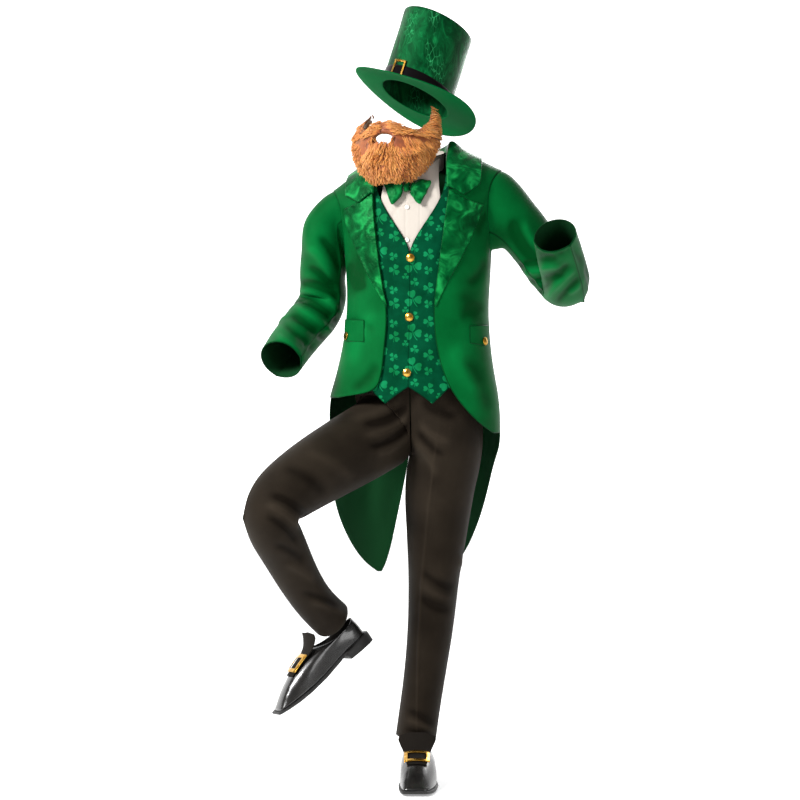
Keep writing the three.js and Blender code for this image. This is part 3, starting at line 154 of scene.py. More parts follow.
def cloth_material(name, dark, light, roughness, sheen, pitch, strength, edge=2.5, inner=None,
                   gloss=0.2):
    """Woven cloth: soft tone changes, painted shade in the troughs and painted highlight on the ridges
    of its folds, a twill bump, painted shade at the seams and the lining's colour inside."""
    material, tree, shader, place = new_material(name)
    clouds = add(tree, "ShaderNodeTexNoise", {"Vector": (place, "Object"), "Scale": 9.0,
                 "Detail": 3.0, "Roughness": 0.55})
    # Painted shade and highlight: the fold depth darkens the troughs and lightens the ridges in the
    # colour.
    fold = add(tree, "ShaderNodeAttribute", attribute_name="fold")
    height = add(tree, "ShaderNodeMapRange", {"Value": (fold, "Fac"), "From Min": -3.5,
                 "From Max": 3.5, "To Min": 0.0, "To Max": 0.6})
    both = add(tree, "ShaderNodeMath", {0: (clouds, "Fac"), 1: 0.4, 2: (height, "Result")},
               operation="MULTIPLY_ADD")
    tone = ramp(tree, (both, "Value"), [(0.3, dark), (0.72, light)])
    shaded = seam_shade(tree, (tone, "Color"), edge, 0.6)
    lined = lining(tree, (shaded, 2), inner or dark)
    bump = weave(tree, place, pitch, strength)
    tree.links.new(lined.outputs[2], shader.inputs["Base Color"])
    tree.links.new(bump.outputs["Normal"], shader.inputs["Normal"])
    shader.inputs["Roughness"].default_value = roughness
    shader.inputs["Sheen Weight"].default_value = sheen
    shader.inputs["Sheen Roughness"].default_value = 0.5
    shader.inputs["Sheen Tint"].default_value = linear(light)
    shader.inputs["Specular IOR Level"].default_value = gloss
    shader.inputs["Specular Tint"].default_value = linear(light)
    return material


def satin_material(name, dark, light, flash, roughness, crush):
    """Polyester satin: bright soft gloss over fine crushed ripples, with a painted highlight, the flash
    green, in patches of its colour.
    """
    material, tree, shader, place = new_material(name)
    warp = add(tree, "ShaderNodeTexNoise", {"Vector": (place, "Object"), "Scale": 26.0,
               "Detail": 2.0, "Distortion": 1.1})
    # The flash stop is a painted highlight: pale satin streaks put into the colour itself.
    tone = ramp(tree, (warp, "Fac"), [(0.32, dark), (0.52, light), (0.72, flash)])
    shaded = seam_shade(tree, (tone, "Color"), 1.5, 0.5)
    ripples = add(tree, "ShaderNodeTexNoise", {"Vector": (place, "Object"), "Scale": 95.0,
                  "Detail": 2.5, "Distortion": 1.6})
    bump = add(tree, "ShaderNodeBump", {"Height": (ripples, "Fac"), "Strength": crush,
               "Distance": 0.0016})
    tree.links.new(shaded.outputs[2], shader.inputs["Base Color"])
    tree.links.new(bump.outputs["Normal"], shader.inputs["Normal"])
    shader.inputs["Roughness"].default_value = roughness
    shader.inputs["Specular IOR Level"].default_value = 0.6
    shader.inputs["Specular Tint"].default_value = linear(flash)
    return material


def shamrock_group():
    """A node group: 1 inside a shamrock of three heart leaves and a stem, 0 outside."""
    group = bpy.data.node_groups.new("shamrock", "ShaderNodeTree")
    for name in ("Across", "Up", "Across At", "Up At", "Size", "Turn", "Leaves"):
        group.interface.new_socket(name, in_out="INPUT", socket_type="NodeSocketFloat")
    group.interface.new_socket("Inside", in_out="OUTPUT", socket_type="NodeSocketFloat")
    source = add(group, "NodeGroupInput")

    def calc(operation, *values, clamp=False):
        return (add(group, "ShaderNodeMath", dict(enumerate(values)), operation=operation,
                    use_clamp=clamp), "Value")

    def nearest(value, centre, period):
        """The offset from the nearest repeat of a centre, as a share of the shamrock's size."""
        shift = calc("DIVIDE", calc("SUBTRACT", (source, value), (source, centre)), period)
        wrapped = calc("SUBTRACT", calc("FRACT", calc("ADD", shift, 0.5)), 0.5)
        return calc("DIVIDE", calc("MULTIPLY", wrapped, period), (source, "Size"))

    x = nearest("Across", "Across At", REPEAT[0])
    y = nearest("Up", "Up At", REPEAT[1])
    cosine = calc("COSINE", (source, "Turn"))
    sine = calc("SINE", (source, "Turn"))
    across = calc("ADD", calc("MULTIPLY", x, cosine), calc("MULTIPLY", y, sine))
    up = calc("SUBTRACT", calc("MULTIPLY", y, cosine), calc("MULTIPLY", x, sine))

    def heart(degrees):
        """A heart leaf whose point is at the middle, turned round it."""
        a = math.radians(degrees)
        u = calc("ADD", calc("MULTIPLY", across, math.cos(a)), calc("MULTIPLY", up, math.sin(a)))
        v = calc("SUBTRACT", calc("MULTIPLY", up, math.cos(a)), calc("MULTIPLY", across, math.sin(a)))
        p = calc("MULTIPLY", u, 4.1)
        q = calc("MULTIPLY", calc("SUBTRACT", v, 0.30), 4.1)
        pp = calc("MULTIPLY", p, p)
        body = calc("SUBTRACT", calc("ADD", pp, calc("MULTIPLY", q, q)), 1.0)
        cubed = calc("MULTIPLY", body, calc("MULTIPLY", body, body))
        lobe = calc("MULTIPLY", pp, calc("MULTIPLY", q, calc("MULTIPLY", q, q)))
        return calc("LESS_THAN", calc("SUBTRACT", cubed, lobe), 0.0)

    side_leaves = calc("MULTIPLY", calc("MAXIMUM", heart(112), heart(-112)), (source, "Leaves"))
    bend = calc("MULTIPLY", calc("MULTIPLY", up, up), 0.45)
    off = calc("ABSOLUTE", calc("SUBTRACT", across, bend))
    narrow = calc("LESS_THAN", off, 0.03)
    low = calc("MULTIPLY", calc("GREATER_THAN", up, -0.6), calc("LESS_THAN", up, 0.05))
    stem = calc("MULTIPLY", narrow, low)
    inside = calc("MAXIMUM", calc("MAXIMUM", heart(0), side_leaves), stem)
    add(group, "NodeGroupOutput", {"Inside": inside})
    return group


REPEAT = (165 * MM, 80 * MM)       # the print's repeat across and up
# The print, charted: across, up, size (mm), turn (degrees), leaves (1, or 0 for one leaf)
PRINT = [
    (20, 22, 34, 14, 1), (103, 60, 34, 14, 1), (58, 48, 22, -24, 1), (141, 12, 22, -24, 1),
    (56, 10, 17, 40, 1), (138, 44, 17, 40, 1), (24, 62, 17, -12, 1), (106, 22, 17, -12, 1),
    (82, 30, 13, 8, 1), (2, 76, 13, 0, 1),
]
PRINT_SHIFT = (-30, -8)            # the whole print's place across and up, in mm


def print_material():
    """Dark green polyester printed with lighter shamrocks."""
    material, tree, shader, place = new_material("printed_poplin_shamrock")
    parts = add(tree, "ShaderNodeSeparateXYZ", {"Vector": (place, "Object")})
    group = shamrock_group()
    mask = None
    for across, up, size, turn, leaves in PRINT:
        leaf = add(tree, "ShaderNodeGroup", node_tree=group)
        tree.links.new(parts.outputs["X"], leaf.inputs["Across"])
        tree.links.new(parts.outputs["Z"], leaf.inputs["Up"])
        for key, value in (("Across At", (across + PRINT_SHIFT[0]) * MM), ("Size", size * MM),
                           ("Up At", (up + PRINT_SHIFT[1]) * MM), ("Turn", math.radians(turn)),
                           ("Leaves", float(leaves))):
            leaf.inputs[key].default_value = value
        if mask is None:
            mask = (leaf, "Inside")
        else:
            mask = (add(tree, "ShaderNodeMath", {0: mask, 1: (leaf, "Inside")},
                        operation="MAXIMUM"), "Value")
    worn = add(tree, "ShaderNodeTexNoise", {"Vector": (place, "Object"), "Scale": 30.0,
               "Detail": 2.0})
    leaf_green = ramp(tree, (worn, "Fac"), [(0.35, "#085a30"), (0.7, "#0e7044")])
    ground = ramp(tree, (worn, "Fac"), [(0.35, "#01301c"), (0.7, "#023c25")])
    mixed = add(tree, "ShaderNodeMix", {0: mask, 6: (ground, "Color"), 7: (leaf_green, "Color")},
                data_type="RGBA")
    shaded = seam_shade(tree, (mixed, 2), 2.0, 0.5)
    bump = weave(tree, place, 1.0, 0.25)
    tree.links.new(shaded.outputs[2], shader.inputs["Base Color"])
    tree.links.new(bump.outputs["Normal"], shader.inputs["Normal"])
    shader.inputs["Roughness"].default_value = 0.7
    shader.inputs["Specular IOR Level"].default_value = 0.15
    shader.inputs["Specular Tint"].default_value = linear("#1f9a5a")
    return material


def velvet_material(name):
    """Foil-crushed velvet: mottled greens with pale flecks and upright crackle."""
    material, tree, shader, place = new_material(name)
    turned = add(tree, "ShaderNodeMapping", {"Vector": (place, "Object"),
                 "Rotation": (0, math.radians(18.5), 0), "Scale": (1.0, 1.0, 0.4)})
    blotch = add(tree, "ShaderNodeTexNoise", {"Vector": (turned, "Vector"), "Scale": 34.0,
                 "Detail": 6.0, "Roughness": 0.72, "Distortion": 1.2})
    tone = ramp(tree, (blotch, "Fac"),
                [(0.32, "#011c0c"), (0.47, "#023015"), (0.60, "#054a24"), (0.76, "#13793f")])
    crackle = add(tree, "ShaderNodeTexVoronoi", {"Vector": (turned, "Vector"), "Scale": 120.0},
                  feature="DISTANCE_TO_EDGE")
    flecks = ramp(tree, (crackle, "Distance"), [(0.0, "#ffffff"), (0.05, "#000000")])
    patches = add(tree, "ShaderNodeTexNoise", {"Vector": (turned, "Vector"), "Scale": 22.0,
                  "Detail": 4.0})
    where = add(tree, "ShaderNodeMapRange", {"Value": (patches, "Fac"), "From Min": 0.5,
                "From Max": 0.68})
    amount = add(tree, "ShaderNodeMath", {0: (flecks, "Color"), 1: (where, "Result")},
                 operation="MULTIPLY")
    mixed = add(tree, "ShaderNodeMix", {0: (amount, "Value"), 6: (tone, "Color"),
                7: linear("#36a062")}, data_type="RGBA")
    bump = add(tree, "ShaderNodeBump", {"Height": (blotch, "Fac"), "Strength": 0.6,
               "Distance": 0.0015})
    tree.links.new(mixed.outputs[2], shader.inputs["Base Color"])
    tree.links.new(bump.outputs["Normal"], shader.inputs["Normal"])
    shader.inputs["Roughness"].default_value = 0.5
    shader.inputs["Specular IOR Level"].default_value = 0.35
    shader.inputs["Specular Tint"].default_value = linear("#3fc878")
    return material


def fur_material():
    """Long acrylic fur: ginger locks, paler at the tips, with painted shade at their roots and on the
    backing between them.
    """
    material, tree, shader, place = new_material("acrylic_fur_ginger")
    tuft = add(tree, "ShaderNodeAttribute", attribute_name="tuft")
    spots = add(tree, "ShaderNodeTexNoise", {"Vector": (place, "Object"), "Scale": 40.0,
                "Detail": 4.0, "Roughness": 0.65})
    both = add(tree, "ShaderNodeMath", {0: (tuft, "Fac"), 1: (spots, "Fac")}, operation="ADD")
    half = add(tree, "ShaderNodeMath", {0: (both, "Value"), 1: 0.5}, operation="MULTIPLY")
    tone = ramp(tree, (half, "Value"), [(0.20, "#5a2006"), (0.40, "#8e4210"), (0.60, "#b0651f"),
                                        (0.82, "#cd8a3e")])
    strands = add(tree, "ShaderNodeTexNoise", {"Vector": (place, "Object"), "Scale": 700.0,
                  "Detail": 2.0})
    bump = add(tree, "ShaderNodeBump", {"Height": (strands, "Fac"), "Strength": 0.5,
               "Distance": 0.0008})
    tree.links.new(tone.outputs["Color"], shader.inputs["Base Color"])
    tree.links.new(bump.outputs["Normal"], shader.inputs["Normal"])
    shader.inputs["Roughness"].default_value = 0.6
    shader.inputs["Sheen Weight"].default_value = 0.5
    shader.inputs["Sheen Tint"].default_value = linear("#ffd9a0")
    return material


def leather_material():
    """Polished black leather: tight gloss over fine creases."""
    material, tree, shader, place = new_material("box_calf_black")
    grain = add(tree, "ShaderNodeTexVoronoi", {"Vector": (place, "Object"), "Scale": 700.0})
    soft = add(tree, "ShaderNodeTexNoise", {"Vector": (place, "Object"), "Scale": 45.0,
               "Detail": 3.0})
    both = add(tree, "ShaderNodeMath", {0: (grain, "Distance"), 1: (soft, "Fac")}, operation="ADD")
    tone = ramp(tree, (soft, "Fac"), [(0.3, "#0c0b0a"), (0.75, "#1f1d1b")])
    bump = add(tree, "ShaderNodeBump", {"Height": (both, "Value"), "Strength": 0.12,
               "Distance": 0.0006})
    tree.links.new(tone.outputs["Color"], shader.inputs["Base Color"])
    tree.links.new(bump.outputs["Normal"], shader.inputs["Normal"])
    shader.inputs["Roughness"].default_value = 0.27
    shader.inputs["Coat Weight"].default_value = 0.4
    shader.inputs["Coat Roughness"].default_value = 0.12
    return material


def plain_material(name, dark, light, roughness, metallic=0.0, scale=300.0, strength=0.1):
    """A moulded or plated finish with a faint unevenness."""
    material, tree, shader, place = new_material(name)
    spots = add(tree, "ShaderNodeTexNoise", {"Vector": (place, "Object"), "Scale": scale,
                "Detail": 3.0})
    tone = ramp(tree, (spots, "Fac"), [(0.35, dark), (0.7, light)])
    bump = add(tree, "ShaderNodeBump", {"Height": (spots, "Fac"), "Strength": strength,
               "Distance": 0.0003})
    tree.links.new(tone.outputs["Color"], shader.inputs["Base Color"])
    tree.links.new(bump.outputs["Normal"], shader.inputs["Normal"])
    shader.inputs["Roughness"].default_value = roughness
    shader.inputs["Metallic"].default_value = metallic
    return material


MATERIALS = {
    "coat_cloth": cloth_material("polyester_twill_green", "#003412", "#045e2b", 0.6, 0.02, 1.4, 0.25,
                                 inner="#14391f", gloss=0.45),
    "green_satin": satin_material("polyester_satin_green", "#002c11", "#034820", "#17823f", 0.38, 0.6),
    "waistcoat_print": print_material(),
    "shirt_cloth": cloth_material("cotton_poplin_white", "#a8a097", "#b5ada4", 0.9, 0.0, 0.9, 0.15, 0.6),
    "trouser_cloth": cloth_material("polyester_suiting_black", "#14100c", "#2b251e", 0.7, 0.03, 1.2,
                                    0.25, 1.5),
    "crown_velvet": velvet_material("crushed_velvet_green"),
    "brim_cloth": cloth_material("flocked_felt_green", "#035a2c", "#067a3a", 0.9, 0.04, 0.9, 0.25, 3.0),
    "band_ribbon": cloth_material("satin_ribbon_black", "#080607", "#131012", 0.35, 0.05, 1.6, 0.2, 1.0),
    "beard_fur": fur_material(),
    "shoe_gloss": leather_material(),
    "shoe_sole": plain_material("moulded_rubber_black", "#0b0a09", "#161412", 0.6),
    "tongue_cloth": cloth_material("felted_card_black", "#1c1916", "#2b2723", 0.85, 0.08, 1.0, 0.3, 1.0),
    "gold_metal": plain_material("gold_plated_zinc", "#b98424", "#e0b45a", 0.24, 1.0, 90.0, 0.12),
    "shirt_button": plain_material("pearl_polyester", "#cfc8bd", "#e4ddd2", 0.25),
}


# Cloth: the outer side of a CAD piece, made smooth, creased and given its thickness

def merged_copy(node):
    """A welded copy of a CAD node's mesh, without its stored normals, which would hide all folds."""
    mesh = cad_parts[node].data.copy()
    for name in ("custom_normal", "sharp_face", "sharp_edge"):
        if name in mesh.attributes:
            mesh.attributes.remove(mesh.attributes[name])
    bm = bmesh.new()
    bm.from_mesh(mesh)
    bpy.data.meshes.remove(mesh)
    bmesh.ops.remove_doubles(bm, verts=bm.verts, dist=0.00002)
    return bm


def sides_of_shell(bm, wall):
    """Deletes a thin shell's rim, whose triangles have a side as long as the wall in mm, and returns
    the faces of its two sides."""
    rim = [f for f in bm.faces
           if any(abs(e.calc_length() / MM - wall) < 0.012 for e in f.edges)]
    bmesh.ops.delete(bm, geom=rim, context="FACES")
    sides = []
    seen = set()
    for start in bm.faces:
        if start in seen:
            continue
        members = [start]
        seen.add(start)
        for face in members:
            for edge in face.edges:
                for other in edge.link_faces:
                    if other not in seen:
                        seen.add(other)
                        members.append(other)
        sides.append(members)
    sides.sort(key=lambda faces: -sum(f.calc_area() for f in faces))
    return sides[:2]


def outer_side(node, wall, axis=None):
    """A CAD shell's outer side. axis is a point that it faces away from, or else its own middle."""
    bm = merged_copy(node)
    sides = sides_of_shell(bm, wall)
    total = sum(f.calc_area() for f in bm.faces)
    middle = axis or sum((f.calc_center_median() * f.calc_area() for f in bm.faces), Vector()) / total

    def outwardness(faces):
        score = 0.0
        for f in faces:
            away = f.calc_center_median() - middle
            if axis:
                away.z = 0.0
            score += f.normal.dot(away.normalized()) * f.calc_area()
        return score

    keep = set(max(sides, key=outwardness))
    bmesh.ops.delete(bm, geom=[f for f in bm.faces if f not in keep], context="FACES")
    return bm


def squared(bm):
    """Joins the pairs of triangles that follow each other back into the cloth's squares."""
    bm.faces.ensure_lookup_table()
    faces = sorted(bm.faces, key=lambda f: f.index)
    diagonals = []
    for one, two in zip(faces[::2], faces[1::2]):
        shared = [e for e in one.edges if e in two.edges[:]]
        diagonals.extend(shared[:1])
    if len(diagonals) * 2 == len(faces):
        bmesh.ops.dissolve_edges(bm, edges=diagonals, use_verts=False)
    else:
        bmesh.ops.join_triangles(bm, faces=bm.faces, angle_face_threshold=math.pi,
                                 angle_shape_threshold=math.pi)
    return bm


def keep_corners(bm, bend=32):
    """Marks the points where an open edge turns sharply, so that smoothing keeps them."""
    layer = bm.verts.layers.float.new("crease_vert")
    for vert in bm.verts:
        rims = [e for e in vert.link_edges if e.is_boundary]
        if len(rims) != 2:
            continue
        a, b = (e.other_vert(vert).co - vert.co for e in rims)
        if math.pi - a.angle(b, math.pi) > math.radians(bend):
            vert[layer] = 1.0
    return bm


def subdivided(bm, levels, name):
    """The bmesh smoothed by a subdivision surface, as a mesh."""
    mesh = bpy.data.meshes.new(name)
    bm.to_mesh(mesh)
    bm.free()
    work = bpy.data.objects.new(name + "_work", mesh)
    bpy.context.scene.collection.objects.link(work)
    rounding = work.modifiers.new("Subdivision", "SUBSURF")
    rounding.levels = rounding.render_levels = levels
    rounding.boundary_smooth = "PRESERVE_CORNERS"
    graph = bpy.context.evaluated_depsgraph_get()
    out = bpy.data.meshes.new_from_object(work.evaluated_get(graph))
    bpy.data.objects.remove(work)
    bpy.data.meshes.remove(mesh)
    out.name = name
    return out


def turned_in(mesh, reach, depth):
    """Turns every open edge in: a strip that leads on by reach and goes in by depth, in mm."""
    bm = bmesh.new()
    bm.from_mesh(mesh)
    bm.normal_update()
    open_edges = [e for e in bm.edges if e.is_boundary]
    ways = {}
    for edge in open_edges:
        along = (edge.verts[1].co - edge.verts[0].co).normalized()
        away = (edge.verts[0].co + edge.verts[1].co) / 2 - edge.link_faces[0].calc_center_median()
        away = (away - along * away.dot(along)).normalized()
        for vert in edge.verts:
            ways.setdefault(vert, []).append(away)
    step = {v: sum(ways[v], Vector()).normalized() * reach * MM - v.normal * depth * MM for v in ways}
    made = bmesh.ops.extrude_edge_only(bm, edges=open_edges)
    for vert in (g for g in made["geom"] if isinstance(g, bmesh.types.BMVert)):
        source = next(e.other_vert(vert) for e in vert.link_edges if e.other_vert(vert) in step)
        vert.co = source.co + step[source]
    bm.to_mesh(mesh)
    bm.free()


def points_and_normals(mesh):
    """A mesh's points and their normals, one row each."""
    count = len(mesh.vertices)
    points = np.empty(count * 3, dtype=np.float32)
    normals = np.empty(count * 3, dtype=np.float32)
    mesh.vertices.foreach_get("co", points)
    mesh.vertex_normals.foreach_get("vector", normals)
    return points.reshape(-1, 3).astype(float), normals.reshape(-1, 3).astype(float)


def rim_distance(mesh):
    """Each point's distance from the open edge, and how far along the edge its nearest point is."""
    bm = bmesh.new()
    bm.from_mesh(mesh)
    along = {}
    reach = 0.0
    for edge in bm.edges:
        if not edge.is_boundary or edge.verts[0] in along:
            continue
        vert = edge.verts[0]
        while vert is not None and vert not in along:
            along[vert] = reach
            after = None
            for link in vert.link_edges:
                other = link.other_vert(vert)
                if link.is_boundary and other not in along:
                    after = other
                    reach += link.calc_length()
                    break
            vert = after
    count = len(bm.verts)
    rim = np.full(count, 1.0)
    arc = np.zeros(count)
    if along:
        tree = kdtree.KDTree(len(along))
        edge_points = list(along)
        for i, vert in enumerate(edge_points):
            tree.insert(vert.co, i)
        tree.balance()
        for vert in bm.verts:
            _, i, distance = tree.find(vert.co)
            rim[vert.index] = distance
            arc[vert.index] = along[edge_points[i]]
    bm.free()
    return rim, arc


def crease_depth(points, normals, rows):
    """How far, in mm, the listed creases push each point along its normal.

    A row is (view, x0, z0, x1, z1, bow, width, depth): the side it is seen from, its two ends and
    its bow in mm from the floor in that view, its half width, and its depth, below 0 for a trough."""
    push = np.zeros(len(points))
    x = points[:, 0] / MM + ORIGIN.x
    z = points[:, 2] / MM + ORIGIN.z
    y = points[:, 1] / MM + ORIGIN.y
    for view, x0, z0, x1, z1, bow, width, depth in rows:
        flat, facing = {
            "front": (x, -normals[:, 1]), "back": (x, normals[:, 1]),
            "right": (y, -normals[:, 0]), "left": (y, normals[:, 0]),
        }[view]
        a = np.array([x0, z0], dtype=float)
        b = np.array([x1, z1], dtype=float)
        run = b - a
        length = np.hypot(*run)
        side = np.array([-run[1], run[0]]) / length
        u = ((flat - a[0]) * run[0] + (z - a[1]) * run[1]) / length ** 2
        v = (flat - a[0]) * side[0] + (z - a[1]) * side[1]
        v = v - bow * 4 * np.clip(u, 0, 1) * (1 - np.clip(u, 0, 1))
        ends = np.clip((u + 0.12) / 0.3, 0, 1) * np.clip((1.12 - u) / 0.3, 0, 1)
        ends = ends * ends * (3 - 2 * ends)
        seen = np.clip(facing / 0.35 + 0.15, 0, 1)
        push += depth * np.exp(-(v / width) ** 2) * ends * seen
    return push


def unevenness(points, scale, amount, seed):
    """A slow, low waviness in mm."""
    at = Vector((seed * 3.7, seed * 1.3, seed * 2.1))
    return np.array([noise.noise(Vector(p) / (scale * MM) + at) for p in points]) * amount


def write_attribute(mesh, name, values):
    """Gives the mesh a number for each point, for its material to read."""
    layer = mesh.attributes.new(name, "FLOAT", "POINT")
    layer.data.foreach_set("value", values.astype(np.float32))


def finish_piece(name, mesh, node, slot_name, wall=None):
    """Puts a mesh in the scene as a piece that stands for a CAD node, with its wall in mm."""
    for polygon in mesh.polygons:
        polygon.use_smooth = True
    piece = bpy.data.objects.new(name, mesh)
    bpy.context.scene.collection.objects.link(piece)
    mesh.materials.clear()
    mesh.materials.append(MATERIALS[slot_name])
    if wall:
        thickness = piece.modifiers.new("Solidify", "SOLIDIFY")
        thickness.thickness = wall * MM
        thickness.offset = -1.0
    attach(piece, "root")
    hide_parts(node)
    return piece


BODY_AXIS = floor_point(4, 0, 1200)


def cloth(node, slot_name, levels, creases=(), shell=2.0, wall=1.0, wave=(70, 0.8), pucker=None, seed=1,
          axis=None, edge=(1.6, 1.5)):
    """A garment piece: the node's outer side with its creases, hems and thickness. shell is the CAD
    wall and wall the cloth's, in mm."""
    bm = keep_corners(squared(outer_side(node, shell, axis)))
    mesh = subdivided(bm, levels, node + "_cloth")
    points, normals = points_and_normals(mesh)
    rim, arc = rim_distance(mesh)
    push = crease_depth(points, normals, creases)
    push += unevenness(points, wave[0], wave[1], seed)
    push *= np.clip(rim / (8 * MM), 0.25, 1)
    if pucker:
        depth, pitch, band = pucker
        ripple = np.array([noise.noise(Vector((a / (pitch * MM), seed, 0.0))) for a in arc])
        push += depth * ripple * np.exp(-(rim / (band * MM)) ** 2)
    points += normals * push[:, None] * MM
    mesh.vertices.foreach_set("co", points.astype(np.float32).ravel())
    write_attribute(mesh, "rim", rim)
    # The material reads this fold depth to paint shade in the troughs and a highlight on the ridges.
    write_attribute(mesh, "fold", push)
    mesh.update()
    outward = mesh.attributes.new("face_out", "FLOAT_VECTOR", "POINT")
    outward.data.foreach_set("vector", points_and_normals(mesh)[1].astype(np.float32).ravel())
    if edge:
        turned_in(mesh, *edge)
    piece = finish_piece(node + "_cloth", mesh, node, slot_name, wall)
    return piece


SHARP = math.radians(38)           # edges that turn by more than this are rounded over


def rounded(node, slot_name, bevel, levels=0):
    """A solid piece with its sharp edges rounded over by bevel, in mm."""
    bm = merged_copy(node)
    edges = [e for e in bm.edges if len(e.link_faces) == 2 and e.calc_face_angle(0) > SHARP]
    bmesh.ops.bevel(bm, geom=edges, offset=bevel * MM, segments=2, profile=0.6, affect="EDGES")
    mesh = subdivided(bm, levels, node + "_body")
    return finish_piece(mesh.name, mesh, node, slot_name)


def button(node, slot_name, profile, steps=40):
    """A button spun from its profile (radius and height in mm) at a CAD button's place."""
    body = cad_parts[node].data
    points = np.array([v.co[:] for v in body.vertices])
    middle = points.mean(axis=0)
    _, _, axes = np.linalg.svd(points - middle)
    axis = Vector(axes[2])
    if axis.y > 0:
        axis = -axis
    base = Vector(middle) + axis * min((Vector(p - middle)).dot(axis) for p in points)
    bm = bmesh.new()
    verts = [bm.verts.new((radius * MM, 0, height * MM)) for radius, height in profile]
    edges = [bm.edges.new(pair) for pair in zip(verts, verts[1:])]
    bmesh.ops.spin(bm, geom=verts + edges, cent=(0, 0, 0), axis=(0, 0, 1), angle=math.tau, steps=steps,
                   use_merge=True)
    bmesh.ops.remove_doubles(bm, verts=bm.verts, dist=0.00001)
    bmesh.ops.recalc_face_normals(bm, faces=bm.faces)
    turn = axis.to_track_quat("Z", "Y").to_matrix().to_4x4()
    bmesh.ops.transform(bm, matrix=Matrix.Translation(base) @ turn, verts=bm.verts)
    mesh = bpy.data.meshes.new(node + "_spun")
    bm.to_mesh(mesh)
    bm.free()
    return finish_piece(mesh.name, mesh, node, slot_name)


# Fur: locks, each a copy of one of a few templates, joined into one piece

LOCK_STEPS = 5
LOCK_KINDS = 14


def lock_template(index, rng):
    """A tapered lock one unit long that curls along its length, with its tone in tuft: darker at the
    root, as painted shade, and paler towards the tip.
    """
    bm = bmesh.new()
    layer = bm.verts.layers.float.new("tuft")
    made = bmesh.ops.create_circle(bm, segments=4, radius=1.0)
    bmesh.ops.scale(bm, vec=(1.0, 0.45, 1.0), verts=made["verts"])
    edges = list(bm.edges)
    shade = rng.uniform(0.15, 0.75)
    # Painted shade: the root ring gets a darker tone than the rest of the lock.
    for vert in bm.verts:
        vert[layer] = shade * 0.3
    curl = rng.uniform(-0.45, 0.45)
    lean = rng.uniform(0.1, 0.5)
    previous = 1.0
    for step in range(1, LOCK_STEPS + 1):
        t = step / LOCK_STEPS
        made = bmesh.ops.extrude_edge_only(bm, edges=edges)["geom"]
        verts = [g for g in made if isinstance(g, bmesh.types.BMVert)]
        edges = [g for g in made if isinstance(g, bmesh.types.BMEdge)]
        middle = sum((v.co for v in verts), Vector()) / len(verts)
        width = (1 - t) ** 0.7 * (1 + 0.5 * t) + 0.04
        shift = Vector((curl * math.sin(t * 3.6) * 3.0, -lean * t * 2.0, 1 / LOCK_STEPS))
        bmesh.ops.translate(bm, verts=verts, vec=-middle)
        bmesh.ops.scale(bm, vec=Vector((1, 1, 1)) * (width / previous), verts=verts)
        bmesh.ops.translate(bm, verts=verts, vec=Vector((0, 0, middle.z)) + shift)
        previous = width
        for vert in verts:
            vert[layer] = shade + 0.35 * t
    mesh = bpy.data.meshes.new(f"lock_{index}")
    bm.to_mesh(mesh)
    bm.free()
    return mesh


MOUTH = floor_point(-72, -150, 1548)
MOUTH_HIGH = 14 * MM               # half the height that locks keep clear of
MOUTH_WIDE = 1.7                   # its width, as a share of its height
NOSE = floor_point(-80, -155, 1585)
PARTED = 30 * MM                   # the moustache's locks lie sideways as far as this from the middle
BACKING_DOWN = 2.5 * MM            # the backing lies this far under the fur's solid


